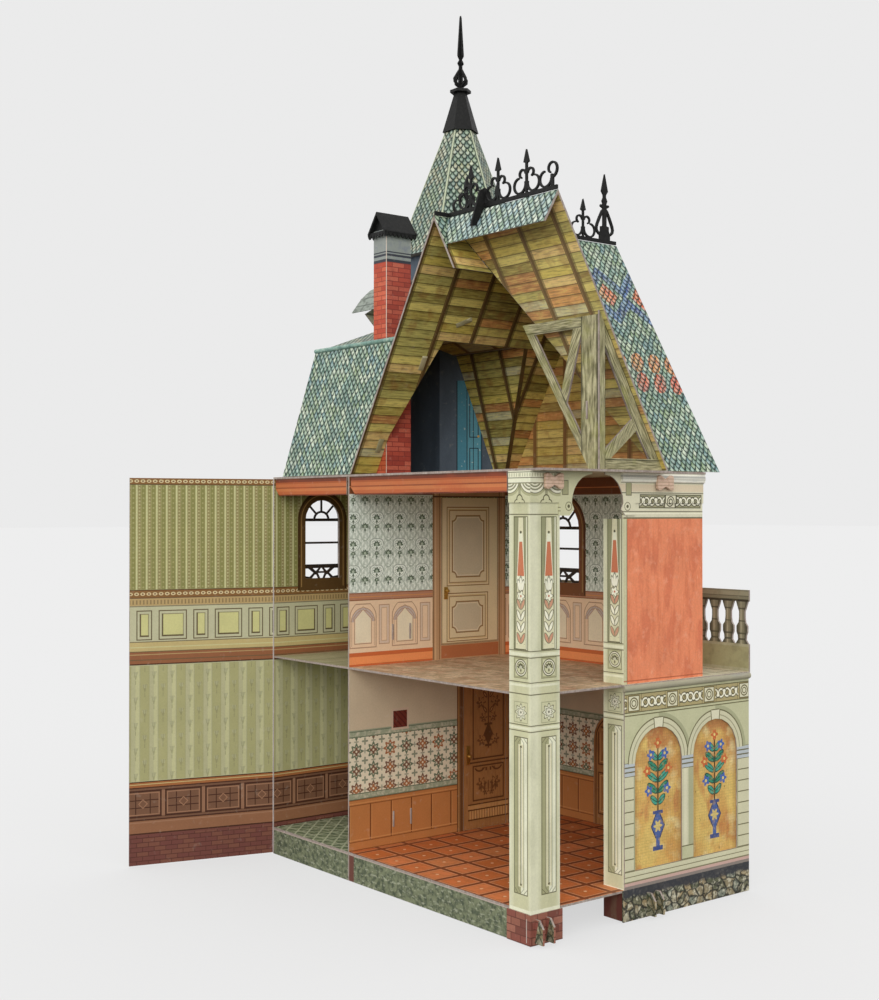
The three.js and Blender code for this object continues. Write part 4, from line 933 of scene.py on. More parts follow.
def drawArcade(ink):
    u, v = ink.ways(back, up)
    ink.use(arcadeLook)
    ink.stain(24, 4, 0.5, 0.75, "moss", 0.35)
    # pier blocks beside the niches
    blocks = v.between(44, 128)
    ink((u.below(124) | u.above(263.5)) & blocks, "stone")
    ink(v.fold(10.5, 44).near(0, 0.5) & (u.below(124) | u.above(263.5)) & blocks, "line")
    ink(u.marks(0.7, 123.2, 264.3) & blocks, "shadow")
    # round middle column, shaded like a cylinder
    shaft = (u - 193.75).size()
    ink(shaft.below(7.8) & v.between(56, 128), "stone")
    ink(u.near(198, 3.2) & v.between(56, 128), "shadow", 0.8)
    ink(u.near(190.6, 1.8) & v.between(56, 128), "pale", 0.8)
    ink(boxEdge(u - 193.75, v - 50, 8.5, 6).near(0, 0.5), "line")
    # imposts: bluish rings
    imposts = v.between(127.5, 140) & (u.below(125.2) | shaft.below(9) | u.above(262.3))
    ink(imposts, "blue")
    ink(v.fold(4.2, 127.5).near(0, 0.6) & imposts, "line")
    # archivolts and keystones
    for middle in niches:
        ring = (u - middle).hypot(v - nicheSpring)
        over = v.above(nicheSpring + 1)
        ink(ring.between(nicheRadius, nicheRadius + 8.2) & over, "stone")
        ink(ring.near(nicheRadius + 3.6, 0.5) & over, "line", 0.6)
        ink(ring.near(nicheRadius + 8.4, 0.6) & over, "line")
        ink(ring.between(nicheRadius + 9, nicheRadius + 12.5) & over & u.above(middle), "shadow", 0.8)
        key = (u - middle).size() - (v - 150) * 0.11 - 3.4
        ink(key.below(0) & v.between(164, 177.5), "pale")
        ink(key.near(0, 0.5) & v.between(164, 177.5), "line")
        ink((u - middle).near(0, 5.8) & (v.near(177.6, 0.5) | v.near(165, 0.4)), "line")
    # sill
    ink(v.below(44), "stone")
    ink(v.near(43.6, 0.6) | v.near(38.8, 0.4) | v.near(34.2, 0.6), "line", 0.85)
    ink(v.below(33.6), "#c9a79b")
    ink(v.below(30.8), "#8a8078")
    # frieze with rosette squares and scrolls
    field = v.between(184.5, 200.5)
    ink(field, "tan")
    ink(v.marks(0.5, 184.5, 200.6) | v.near(204, 0.6) | v.near(181.8, 0.5), "line")
    square = boxEdge(u.fold(50.5, 122.8), v - 192.5, 6.8, 6.8)
    ink(square.below(0), "pale")
    ink(square.near(0, 0.5) & field, "dark")
    rose = u.fold(50.5, 122.8).hypot(v - 192.5)
    ink((rose.near(4.8, 0.6) | rose.near(2.6, 0.5)) & field, "dark")
    scrolls(ink, u, v, 192.5, 8.6, 11, field & square.above(2))
    ink((square.near(3, 0.4)) & field, "dark", 0.7)


def drawMural(ink):  # a generic mosaic: an urn with leaf sprays on a mottled gold ground
    u, v = ink.ways(back, up)
    ink.stain(30, 5, 0.42, 0.6, "#cc9450", 0.8)
    ink(v.ramp(110, 165) & ink.cloud(20, 4).ramp(0.36, 0.56), "#a9603c", 0.75)
    ink.stain(16, 5, 0.54, 0.66, "#b5643d", 0.6, (1, 1, 2))
    ink.stain(22, 5, 0.55, 0.68, "#e6d49a", 0.8)
    p = (u - (niches[0] + niches[1]) / 2).size() - (niches[1] - niches[0]) / 2
    q = v - 60
    # urn
    bowl = p.size() - 9 + (q - 19).size() * 0.55
    ink(bowl.below(0) & q.between(8, 30), "#4a64a0")
    ink(bowl.near(-0.4, 0.7) & q.between(8, 30), "#26355f")
    ink(p.near(0, 2.4) & q.between(1, 9), "#4a64a0")
    ink(p.near(0, 6.5) & (q.between(-3, 1) | q.between(30, 33)), "#3b4f86")
    ink(star(p, q - 19, 4.4, 6, 0.3), "#d9c27a")
    # stem and pairs of leaves
    ink(p.near(0, 0.9) & q.between(33, 92), "#4e3d24")
    for i, (rise, reach) in enumerate(((40, 9), (50, 12.5), (60, 13.5), (70, 12), (80, 9))):
        a = p.size() - reach * 0.55
        b = q - rise - p.size() * 0.55
        leaf = (a / (reach * 0.5)).hypot(b / 3.6)
        ink(leaf.below(1), "#2f8a6e" if i % 2 else "#3fa08a")
        ink(leaf.near(1, 0.12) | (b.near(0, 0.5) & leaf.below(1)), "#1e5244")
    for i, (x, y) in enumerate(((0, 94), (9, 84), (14, 70), (12, 52))):
        bloom = star(p.size() - x, q - y, 4.2, 5, 0.25)
        ink(bloom, "#3f66b0" if i % 2 else "#c9673a")
        ink((p.size() - x).hypot(q - y).below(1.4), "#e6cf7f")
    # small tesserae joints
    grid = u.wrap(2.6).below(0.35) | v.wrap(2.6).below(0.35)
    ink.stain(4, 3, 0.52, 0.66, "#caa560", 0.35)
    ink(grid, "#7d6a45", 0.28)
    ink.stain(3, 2, 0.66, 0.76, "#5d4a2e", 0.6)
    edge = archReach(u, v, niches[0], nicheSpring).do("MINIMUM", archReach(u, v, niches[1], nicheSpring))
    ink(edge.ramp(24, 31), "#8a5a32", 0.5)


stoneLook = {"shades": ["#74725a", "#93876a", "#7f8475", "#a18f6c", "#62644e", "#a8a086"], "joint": "#2b2b28",
             "light": "#d8d3ba", "shadow": "#3c3d42"}


def rubble(ink, u, v, size=9.0):
    ink.use(stoneLook)
    tree = ink.tree
    bent = (ink.cloud(7, 3) - 0.5) * size * 1.1
    spot = pair((u + bent) / (size * 1.15), (v - bent) / (size * 0.85))
    cells = tree.nodes.new("ShaderNodeTexVoronoi")
    rims = tree.nodes.new("ShaderNodeTexVoronoi")
    rims.feature = "DISTANCE_TO_EDGE"
    for node in (cells, rims):
        node.voronoi_dimensions = "2D"
        node.inputs["Scale"].default_value = 1
        plug(tree, node.inputs["Vector"], spot)
    parts = tree.nodes.new("ShaderNodeSeparateColor")
    tree.links.new(cells.outputs["Color"], parts.inputs[0])
    ink.colour = ink.scale(Field(tree, parts.outputs[0]), "shades")
    rim = Field(tree, rims.outputs["Distance"])
    ink.stain(3.6, 4, 0.48, 0.66, "light", 0.75)
    ink.stain(2.4, 3, 0.54, 0.66, "joint", 0.7)
    ink(rim.ramp(0.16, 0.04), "joint", 0.9)


def drawStoneBase(ink):
    u, v = ink.ways(back, up)
    rubble(ink, u, v)
    ragged = v + (ink.cloud(9, 2) - 0.5) * 9
    ink(ragged.ramp(18.5, 21.5), "shadow", 0.95)


def drawTabStone(ink):
    rubble(ink, *ink.ways(right, up), 7)
    ink(ink.cloud(12, 2).above(0), "#4a5038", 0.45)


arcade = printed("arcade", drawArcade)
mural = printed("mural", drawMural, ground="#dcbc6c", mottle=0.7)
stoneBase = printed("stoneBase", drawStoneBase)
tabStone = printed("tabStone", drawTabStone)


def courses(ink, u, v, width, rise, shades, joint, line=1.0):
    row = v.cell(rise)
    shifted = u + row.wrap(2) * (width / 2)
    ink.colour = ink.scale(chance(shifted.cell(width), row), shades)
    ink.stain(2.4, 3, 0.5, 0.75, joint, 0.3)
    ink(v.wrap(rise).below(line) | shifted.wrap(width).below(line), joint)


def drawFootBricks(ink, direction):
    courses(ink, *ink.ways(direction, up), 12, 6.6,
            ["#94604f", "#8a5246", "#a06a58", "#7b4a3f"], "#6a4036", 0.9)
    ink(ink.along(right).near(-3.9, 0.5) & ink.along(up).between(2, 22), "#b5aaa0")


footFront = printed("footFront", drawFootBricks, right)
footSide = printed("footSide", drawFootBricks, back)

dress("right_wall_lower", right=mural, front=pilaster, left=hallAlongY, back=plasterAlongX)
dress("right_wall_upper", right=coralRight, front=pilaster, left=hallAlongY, back=hallAlongX)
dress("arcade_front", right=arcade)
dress("stone_base_right", right=stoneBase, front=tabStone, back=tabStone)
for part in ("lower", "upper"):
    dress("corner_column_" + part, front=columnFront, right=columnSide, back=hallAlongXLow, left=hallAlongY)
dress("column_foot", front=footFront, right=footSide, back=footFront)
footMesh = nodes["column_foot"].data
footMesh.materials.append(tabStone)
for face in footMesh.polygons:
    if face.center.x > place(3, 0).x and abs(face.normal.y) > 0.8:
        face.material_index = len(footMesh.materials) - 1
dress("column_capital", front=capitalFront, right=capitalSide)
dress("frieze_right", right=frieze)
dress("cornice_right", edge=cornice)
dress("partition_wall", right=partitionRight, left=partitionLeft)
dress("hall_back_wall_upper", front=hallAlongX, back=coralBack)
dress("hall_back_wall_lower", front=hallAlongXLow, back=plasterAlongX)
print("hall, columns and arcade printed")

# floors, plinths and bands
floorLook = {
    "tile": ["#d97a45", "#d1743f", "#e08450", "#c96f3a", "#d98652"], "joint": "#85492a", "dot": "#eec49a",
    "marble": "#7f8a6a", "marbleDark": "#4e5c48", "vein": "#c3c8a8",
}


def drawTileFloor(ink):
    x, y = ink.ways(right, back)
    ink.use(floorLook)
    wide, deep = 31.6, 33.3
    p, q = x + 240.8 + wide / 2, y - 16 + deep / 2
    ink.colour = ink.scale(chance(p.cell(wide), q.cell(deep)), "tile")
    ink.stain(7, 4, 0.48, 0.72, "#b8713c", 0.6)
    a, b = p.fold(wide, wide / 2), q.fold(deep, deep / 2)
    edge = boxEdge(a, b, wide / 2, deep / 2)
    ink(edge.ramp(-7, -1), "#a85a32", 0.5)
    ink(edge.above(-2.2), "joint")
    ink(edge.near(-3.0, 0.5), "#eeb083", 0.7)
    ink(a.hypot(b).below(1.6), "dot")


def drawMarbleMosaic(ink):
    x, y = ink.ways(right, back)
    ink.use(floorLook)
    ink.stain(7, 4, 0.42, 0.62, "marbleDark", 0.7)
    ink.stain(5, 3, 0.6, 0.75, "vein", 0.6)
    edge = boxEdge((x + y).fold(17) * 0.7, (x - y).fold(17) * 0.7, 5.9, 5.9)
    ink(edge.above(-0.9), "vein", 0.8)
    cross = boxEdge(x.fold(24.04), y.fold(24.04), 11.6, 11.6)
    ink(cross.above(-0.6), "vein", 0.6)


def drawParquet(ink):  # small blocks of brown wood laid in turn
    x, y = ink.ways(right, back)
    side = 9.6
    turn = (x.cell(side) + y.cell(side)).wrap(2)
    wood = chance(x.cell(side), y.cell(side))
    ink.colour = ink.scale(wood, ["#d5b693", "#c7a784", "#dfc19d", "#bea07e", "#d6ba99"])
    grain = ink.cloud(1.7, 3, (5, 1, 1))
    grainToo = ink.cloud(1.7, 3, (1, 5, 1))
    ink(grain.ramp(0.48, 0.7) & turn, "#8f6a4a", 0.5)
    ink(grainToo.ramp(0.48, 0.7) & (1 - turn), "#8f6a4a", 0.5)
    ink(x.wrap(side).below(0.5) | y.wrap(side).below(0.5), "#8a6343", 0.5)
    ink.stain(18, 5, 0.52, 0.62, "#a8603f", 0.35)
    ink.stain(4, 4, 0.54, 0.66, "#77704f", 0.55)
    ink.stain(5, 4, 0.6, 0.7, "#ecd6b8", 0.5, (2, 1, 1))


def drawBoards(ink):  # washed boards with pale joints
    x, y = ink.ways(right, back)
    row = x.cell(11)
    ink.colour = ink.scale(chance(row), ["#a9a17c", "#b3ab86", "#9f9873", "#aea27e"])
    ink.stain(2, 4, 0.48, 0.7, "#8a8262", 0.5, (1, 9, 1))
    ink(x.wrap(11).below(0.9) | (y + chance(row) * 60).wrap(64).below(0.9), "#cfc8a4")


def drawMiddleFloor(ink):  # parquet indoors, stone slabs on the terrace
    drawParquet(ink)
    x, y = ink.ways(right, back)
    slab = boxEdge(x.fold(26), (y - 218).fold(20.5), 12.4, 9.7)
    stone = Ink(ink.tree, "#d3ceb2")
    stone(ink.cloud(8, 4).ramp(0.5, 0.7), "#b5b08e", 0.7)
    stone(slab.above(-0.4), "#938e70")
    ink(y.above(216) | x.above(-1), stone.colour)


def drawCeiling(ink):
    ink.stain(40, 4, 0.45, 0.7, "#a89676", 0.5)
    x, y = ink.ways(right, back)
    frameLine = boxEdge(x + 150, y - 110, 95, 82)
    ink(frameLine.near(0, 1.2) | frameLine.near(-6, 0.7), "#8e7a58", 0.8)


def drawAtticFloor(ink):
    x, y = ink.ways(right, back)
    row = y.cell(12)
    wood = chance(row, (x + chance(row) * 80).cell(70))
    ink.colour = ink.scale(wood, ["#8f7348", "#9c8052", "#7c6440", "#a38a5c"])
    ink.stain(2, 4, 0.48, 0.7, "#5f4a2c", 0.6, (9, 1, 1))
    ink(y.wrap(12).below(0.9) | (x + chance(row) * 80).wrap(70).below(0.9), "#43331d")


def drawGreenMarble(ink):
    v = ink.along(up)
    ink.stain(5, 6, 0.42, 0.62, "#434c3d", 0.85)
    ink.stain(3, 5, 0.55, 0.68, "#aeb199", 0.7, (2, 1, 1))
    ink.stain(3, 2, 0.62, 0.75, "#c9c4a8", 0.5)
    ink(v.above(25.2), "#b9a79c")
    ink(ink.along(right).between(-266.5, -258) & v.below(25.2), "#6e463c")


def drawFrontBand(ink):
    v = ink.along(up)
    ink.colour = ink.bands(
        v, 378, 400, (378, "#6a3320"), (381.2, "#b5633a"), (384.5, "#c27445"), (387.5, "#8f4a2b"),
        (388.8, "#ba6c40"), (392.2, "#a4552f"), (394, "#733723"), (396.4, "#573020"),
    )
    ink.stain(12, 3, 0.5, 0.7, "#b5532e", 0.4, (4, 1, 1))


boards = printed("boards", drawBoards)
ceilingPaper = printed("ceilingPaper", drawCeiling, ground="#c4b392")
for part, paper in (
    ("hall_ground_floor", printed("tileFloor", drawTileFloor, mottle=0.5)),
    ("left_ground_floor", printed("marbleMosaic", drawMarbleMosaic, ground=floorLook["marble"])),
    ("hall_middle_floor", printed("middleFloor", drawMiddleFloor)),
    ("left_middle_floor", boards),
    ("attic_floor", printed("atticBoards", drawAtticFloor)),
):
    dress(part, up=paper, down=ceilingPaper)
greenMarble = printed("greenMarble", drawGreenMarble, ground="#7a8064")
frontBand = printed("frontBand", drawFrontBand)
for part in ("hall", "left"):
    dress("front_plinth_" + part, front=greenMarble)
    dress("front_band_" + part, front=frontBand)
print("floors laid")

# roofs: fish-scale tiles outside, planks inside
scaleLook = {
    "width": 7.1, "rise": 4.5, "edge": "#22302b", "light": "#e0eadd",
    "shades": ["#7a9a86", "#9bb196", "#6d9192", "#b6c6ac", "#87a077", "#8fb0a2", "#c9d4bb", "#5d8070"],
    "pale": ["#94aeaa", "#b1c5b8", "#89a5ae", "#cbd8ca", "#93ac93", "#a6bdbd", "#dbe3d3", "#7d9a96"],
    "spire": ["#72897a", "#8d9d84", "#a09d82", "#667c70", "#7d9274", "#959375", "#b7bba0", "#566d60"],
}


def makeFishScales():  # which scale a spot lies on, and how close it is to that scale's rim
    tree, (u, v), result = newGroup("fishScales", ("Along", "Down"), ("Cell", "Rim", "Gloss"))
    width, rise = scaleLook["width"], scaleLook["rise"]

    def candidate(step):  # the scales of one row, seen from this spot
        row = v.cell(rise) + step
        shifted = u + row.wrap(2) * (width / 2)
        across = (shifted.wrap(width) - width / 2) / (width / 2)
        drop = (v - row * rise) / (rise * 1.55)
        return across.hypot(drop), chance(shifted.cell(width), row), drop

    upper, upperCell, upperDrop = candidate(-1)
    own, ownCell, ownDrop = candidate(0)
    lower, lowerCell, lowerDrop = candidate(1)
    onUpper = upper.below(1)
    onOwn = own.below(1)

    def pick(a, b, c):
        rest = onOwn * (b - c) + c
        return onUpper * (a - rest) + rest

    plug(tree, result.inputs["Cell"], pick(upperCell, ownCell, lowerCell))
    plug(tree, result.inputs["Rim"], pick(upper, own, lower))
    plug(tree, result.inputs["Gloss"], pick(upperDrop, ownDrop, lowerDrop))
    return tree


fishScales = makeFishScales()


def tiles(ink, u, v, shades="shades", figure=None):
    tree, ink.look = ink.tree, scaleLook
    sway = ink.cloud(11, 2) - 0.5
    laid = useGroup(tree, fishScales, Along=u + sway * 4, Down=v + sway * 5)
    cell, rim, gloss = (Field(tree, laid.outputs[name]) for name in ("Cell", "Rim", "Gloss"))
    ink.colour = ink.scale(cell, shades)
    if figure:
        figure(ink, u, v, cell)
    ink.stain(26, 3, 0.5, 0.66, "#84935a", 0.4)
    ink.stain(17, 3, 0.54, 0.68, "#4a6a64", 0.55)
    ink.stain(8, 2, 0.62, 0.74, "#a8c4c4", 0.5)
    ink(rim.ramp(0.5, 0.86), "edge")
    ink(gloss.ramp(0.05, 0.7) & (1 - rim.ramp(0.4, 0.75)), "light", 0.66)


def figuredRoof(ink, u, v, cell):  # crossed blue bands round orange lozenges, and lower rows
    d = u.fold(46, 190).size()
    blue = (v - d - 40).near(0, 7) | (v + d * 0.95 - 96).near(0, 7)
    ink(blue & v.between(30, 108), ink.scale(cell, ["#3f5c9e", "#5274ae", "#33478c", "#6489b0"]))
    lozenge = d * 1.15 + (v - 68).size()
    ink(lozenge.below(15), ink.scale(cell, ["#e27a42", "#dd6634", "#e8955c", "#d25c30"]))
    orange, red = ["#d98a45", "#cf7436", "#e0a05f"], ["#d9603c", "#cf5233", "#de7a55"]
    for row, start, shades in ((148, 188.6, orange), (171, 184.5, red)):
        slant = u.fold(23.6, start) + (v - row) * 0.35
        ink((slant / 8.6).hypot((v - row) / 11.5).below(1), ink.scale(cell, shades))


plankLook = {
    "board": 9.2, "rafter": 46,
    "shades": ["#dcc764", "#f2df80", "#b9a757", "#e6a664", "#c3b96b",
               "#f2d088", "#a0924f", "#e6d47a", "#c98d57", "#d2cc9f"],
    "joint": "#43371a", "beam": "#5f4828", "beamPale": "#8f7244",
}


def drawRoofPlanks(ink, u, v):
    board, rafter = plankLook["board"], plankLook["rafter"]
    ink.colour = ink.scale(chance(v.cell(board), u.cell(rafter)), "shades")
    grain = noise(ink.tree, pair(u / 14, v / 1.6), 3)
    ink(grain.ramp(0.5, 0.68), "joint", 0.45)
    ink((1 - grain).ramp(0.5, 0.68), "#ece07c", 0.45)
    ink.stain(12, 3, 0.52, 0.68, "#96582e", 0.4)
    ink(v.wrap(board).below(0.9), "joint", 0.8)
    ink(v.wrap(board).between(0.9, 2.4), "joint", 0.22)
    beam = u.fold(rafter)
    ink(beam.between(2.2, 4.6), "joint", 0.6)
    ink(beam.near(0, 2.4), "beam")
    ink(beam.near(-1.2, 0.5), "beamPale", 0.8)


roofPlanks = sharedPrint("roofPlanks", plankLook, drawRoofPlanks)
steep = math.radians(60)
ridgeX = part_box("main_ridge_ironwork")[0].x * 1000 + 1 - corner.x * 1000
ridgeZ = 634
crossY = 17  # the cross roof's ridge
mansardTopZ = 532


def sloping(x, y, run=1.0, high=math.tan(steep)):  # the way out of a slope and the way down it
    return Vector((x * high, y * high, run)).normalized(), Vector((x * run, y * run, -high)).normalized()


def drawTiles(ink, acrossWay, downWay, top, shades="shades", figure=None):
    tiles(ink, ink.along(acrossWay), ink.along(downWay, top), shades, figure)


def drawPlanks(ink, acrossWay, downWay, top, share=0.0, tone="#2b2312"):
    u, v = ink.along(acrossWay), ink.along(downWay, top)
    ink.lay(roofPlanks, u, v)
    # an even cover of one colour over the planks: painted shade in the dark default, painted light in a pale
    # colour, and partly the wood's own tone where it is brown
    if share:
        ink(v.above(-1e6), tone, share)


mainTop, crossTop = (ridgeX, 0, ridgeZ), (0, crossY, ridgeZ)
rightOut, rightWay = sloping(1, 0)


def drawRightSlope(ink):  # tiles outdoors, planks where the cross roof covers them
    drawTiles(ink, back, rightWay, mainTop, figure=figuredRoof)
    planks = Ink(ink.tree, None)
    drawPlanks(planks, back, rightWay, mainTop)
    y, z = ink.ways(back, up)
    ink((z + (y - crossY).size() * math.tan(steep)).below(ridgeZ - 5), planks.colour)


def drawGableOutside(ink):
    drawCoral(ink)
    u, v = ink.ways(right, up)
    timberLine = (v - 400).fold(75).near(0, 3.5) | (u - ridgeX).fold(64).near(0, 3.5)
    ink(timberLine, "#5b4324")


tilesRight = printed("tilesRight", drawRightSlope)
planksRight = printed("planksRight", drawPlanks, back, rightWay, mainTop)
dress("roof_right_slope", (rightOut, tilesRight), (-rightOut, planksRight))
# the gable's planks under a quarter share of a light brown: partly the wood's browner tone, partly painted
# light
planksGable = printed("planksGable", drawPlanks, right, down, (0, 0, ridgeZ), 0.25, "#d4915a")
gableOutside = printed("gableOutside", drawGableOutside)
dress("rear_gable_wall", front=planksGable, back=gableOutside)

# the other slopes: the way across, the lean, a spot on the upper edge, the tiles' shades and the planks'
# cover of painted shade (left slope) and painted light (back slope)
steepLean, mansardHigh = (1.0, math.tan(steep)), 132
for part, name, across, lean, top, shades, paintedLight in (
    ("roof_left_slope", "Left", back, (-1, 0, *steepLean), mainTop, "shades", (0.16,)),
    ("roof_front_strip", "Strip", right, (0, -1, *steepLean), crossTop, "pale", ()),
    ("roof_back_slope", "Back", right, (0, 1, *steepLean), crossTop, "shades", (0.1, "#ffdca8")),
    ("mansard_front", "MansardFront", right, (0, -1, 26, mansardHigh), (0, 28, mansardTopZ), "shades", ()),
    ("mansard_left", "MansardLeft", back, (-1, 0, 24, mansardHigh), (-369, 0, mansardTopZ), "shades", ()),
    ("mansard_rear", "MansardRear", right, (0, 1, 38, mansardHigh), (0, 166, mansardTopZ), "shades", ()),
):
    out, way = sloping(*lean)
    tiling = printed("tiles" + name, drawTiles, across, way, top, shades)
    planking = printed("planks" + name, drawPlanks, across, way, top, *paintedLight)
    dress(part, (out, tiling), (-out, planking), edge=planking if part == "mansard_rear" else cardEdge)
for face in nodes["roof_left_slope"].data.polygons:  # its rear edges show planks
    if face.material_index == 0 and face.center.y > place(0, 120).y:
        face.material_index = 2
# the hip takes the spire's darker shades of tile: painted shade on a face that looks up into the light
hipTiles = printed("hipTiles", drawTiles, right, (0, -1, -0.2), (0, 97, 573), "spire")
dress("mansard_top", up=hipTiles, down=planksGable)

# the spire: rows of scales on six faces, with pale ribs at the corners
towerX, towerY = -342, 204
spireTopZ = 788


def drawSpire(ink):
    x, y, z = ink.along(right) - towerX, ink.along(back) - towerY, ink.along(up)
    turn = y.do("ARCTAN2", x)
    local = turn.fold(math.pi / 3, math.pi / 6)
    reach = x.hypot(y)
    u, d = reach * local.do("SINE"), (spireTopZ - z) * 1.07
    tiles(ink, u, d, "spire")
    rib = reach * local.do("COSINE") * math.tan(math.pi / 6) - u.size()
    ink(rib.below(1.1), "#b4bb9e")
    ink(rib.between(1.3, 2.1), "#55604f")


spireTiles = printed("spireTiles", drawSpire)
dress("spire", edge=spireTiles, down=cardEdge)

# tower: plaster outside, night blue where it shows in the attic, with a printed door
towerLook = {"ground": "#525e6b", "door": "#48899c", "pale": "#69a9b6", "line": "#22333b", "star": "#c9d6c9"}
facetAngle = math.radians(-30)
facetWay = (-math.sin(facetAngle), math.cos(facetAngle), 0)


def drawTowerNight(ink):
    ink.use(towerLook)
    a, v = ink.along(facetWay, (towerX, towerY, 0)), ink.along(up)
    ink.stain(16, 4, 0.45, 0.7, "#434e59", 0.7, (1, 1, 3))
    ink(a.between(-13, 14) & v.below(505), "door")
    ink(a.between(-1.5, 12.5) & v.below(503), "pale", 0.45)
    ink((a.marks(0.6, -13, 14) | a.near(-2, 0.5) | a.near(5, 0.4)) & v.below(505), "line")
    for middle, half in ((470, 26), (420, 12)):
        ink(boxEdge(a - 5.6, v - middle, 4.6, half).near(0, 0.5), "line")
    ink((a - 10.5).hypot(v - 445).below(1.3), "#c9a24c")
    spark = ink.cloud(3.4, 0)
    ink(spark.ramp(0.79, 0.82) & a.above(-13), "star", 0.6)


def drawTowerOutside(ink):
    x, y, v = ink.along(right) - towerX, ink.along(back) - towerY, ink.along(up)
    local = y.do("ARCTAN2", x).fold(math.pi / 3, math.pi / 6)
    u = x.hypot(y) * local.do("SINE")
    drawPlaster(ink, u, v)
    for row in (90, 280, 520):
        d = archReach(u, v, 0, row + 42)
        ink(d.below(15) & v.above(row), "#8f8c6c")
        ink(d.below(12) & v.above(row + 3), "#3d4a50")
        ink((u.near(0, 0.8) | (v - row).fold(15).near(0, 0.7)) & d.below(12) & v.above(row + 3), "#b3b08f")


towerNight = printed("towerNight", drawTowerNight, mottle=0.6)
towerOutside = printed("towerOutside", drawTowerOutside, mottle=0.6)
# the tower's inner faces: the night ground under a much darker copy of its mottling, painted shade
towerInsideShade = (16, 4, 0.45, 0.7, "#1a2730", 0.7, (1, 1, 3))
towerInside = printed("towerInside", drawStains, towerInsideShade, ground=towerLook["ground"])
outward = [(math.cos(math.radians(a)), math.sin(math.radians(a)), 0) for a in range(-150, 211, 60)]


def dressTower(name):
    mesh = nodes[name].data
    mesh.materials.clear()
    for material in (cardEdge, towerOutside, towerNight, towerInside):
        mesh.materials.append(material)
    for face in mesh.polygons:
        flat = Vector((face.normal.x, face.normal.y, 0))
        spot = face.center - place(towerX, towerY)
        if abs(face.normal.z) > 0.8:
            face.material_index = 0
        elif flat.dot(Vector((spot.x, spot.y, 0))) < 0:
            face.material_index = 3
        else:
            face.material_index = 2 if face.normal.y < -0.3 and face.normal.x > -0.3 else 1


dressTower("tower_wall_upper")
dress("tower_bay_lower", *[(way, towerOutside) for way in outward if way[1] > -0.1])
print("roofs tiled")

# chimney, timber, ironwork, dormer and balustrades
chimneyLook = {
    "front": ["#c85a3c", "#cf6647", "#b94b33", "#c4613f"],
    "side": ["#b5503f", "#c05e4b", "#a6473a", "#c56650"],
    "joint": "#983e2c", "sideJoint": "#863a33", "band": "#90958f", "line": "#3a3c44",
}


def drawChimney(ink, direction, shades, joint):
    u, v = ink.ways(direction, up)
    ink.use(chimneyLook)
    courses(ink, u, v, 15, 4.7, shades, joint, 0.8)
    ink.stain(9, 3, 0.5, 0.7, joint, 0.35)
    ink(v.above(612), "band")
    ink(ink.cloud(6, 3).ramp(0.5, 0.7) & v.above(612), "#7d828c", 0.7)
    ink(v.near(613, 1.4) | v.near(618.5, 1.1) | v.near(621.5, 0.6), "line")
    if direction == right:
        ink(u.above(-247.2), "#cfc0b0")


chimneyFront = printed("chimneyFront", drawChimney, right, "front", "joint")
chimneySide = printed("chimneySide", drawChimney, back, "side", "sideJoint")
dress("chimney_stack", front=chimneyFront, back=chimneyFront, right=chimneySide, left=chimneySide)

blackCard = printed(
    "blackCard", drawStains, (3.4, 4, 0.5, 0.75, "#2c2b2a", 0.5), (14, 3, 0.5, 0.7, "#0f1010", 0.6),
    ground="#191918", mottle=0.8, wear=0.03, grain=0.5, level=0.2,
)
timberLook = {"ground": "#9a9470", "dark": "#55512f", "pale": "#c9c29a", "moss": "#8f8f45", "line": "#2f2c1c"}


def timberGrain(ink, length, across, zone):  # one timber's grain and its dark edges
    grain = noise(ink.tree, pair(length / 16, across / 1.3), 4)
    ink(grain.ramp(0.48, 0.66) & zone, "dark", 0.85)
    ink((1 - grain).ramp(0.5, 0.66) & zone, "pale", 0.75)
    ink(across.size().near(4.7, 0.55) & zone, "line", 0.7)


def drawTimber(ink, acrossWay, start, slant, post, beam):
    ink.use(timberLook)
    u, v = ink.along(acrossWay, start), ink.along(up)
    lean = math.atan(slant)
    toward = (u + (v - 400) * slant) * math.cos(lean)
    inward = v * math.cos(lean) - u * math.sin(lean)
    isPost = u.between(*post)
    isBeam = v.between(*beam) & (1 - isPost)
    isLean = toward.between(-12, 0.5) & (1 - isPost) & (1 - isBeam)
    rest = (1 - isPost) & (1 - isBeam) & (1 - isLean)
    timberGrain(ink, v, (u - sum(post) / 2) * (10 / (post[1] - post[0])), isPost)
    timberGrain(ink, u, v - sum(beam) / 2, isBeam)
    timberGrain(ink, inward, toward + 5, isLean)
    timberGrain(ink, v + u * 0.5, u * 0.87 - v * 0.5, rest)
    ink.stain(24, 3, 0.5, 0.65, "moss", 0.45)


timberAcross = printed(
    "timberAcross", drawTimber, right, (8.5, 0, 0), 0.644, (-20, 1), (524.3, 536), mottle=0.6,
)
timberSide = printed(
    "timberSide", drawTimber, back, (0, 149.7, 0), 0.577, (-80, -72.7), (398, 410), mottle=0.6,
)
dress("truss_across", front=timberAcross, back=timberAcross)
dress("truss_side", right=timberSide, left=timberSide)
windowBars = printed("windowBars", drawStains, (4, 3, 0.5, 0.7, "#4b3a2c", 0.6), ground="#2f2722", mottle=0.6)
for name in ("left_window_lattice", "hall_window_lattice"):
    dress(name, edge=windowBars)
for name in ("cross_ridge_ironwork", "main_ridge_ironwork", "ridge_saddle",
             "spire_cap", "spire_finial", "chimney_cap"):
    dress(name, edge=blackCard)


def drawDormer(ink):
    v = ink.along(up)
    ink.stain(12, 4, 0.5, 0.7, "#8a8a78", 0.6)
    ink(v.near(583, 1.2) | v.near(540, 0.8), "#5f5c4a", 0.8)


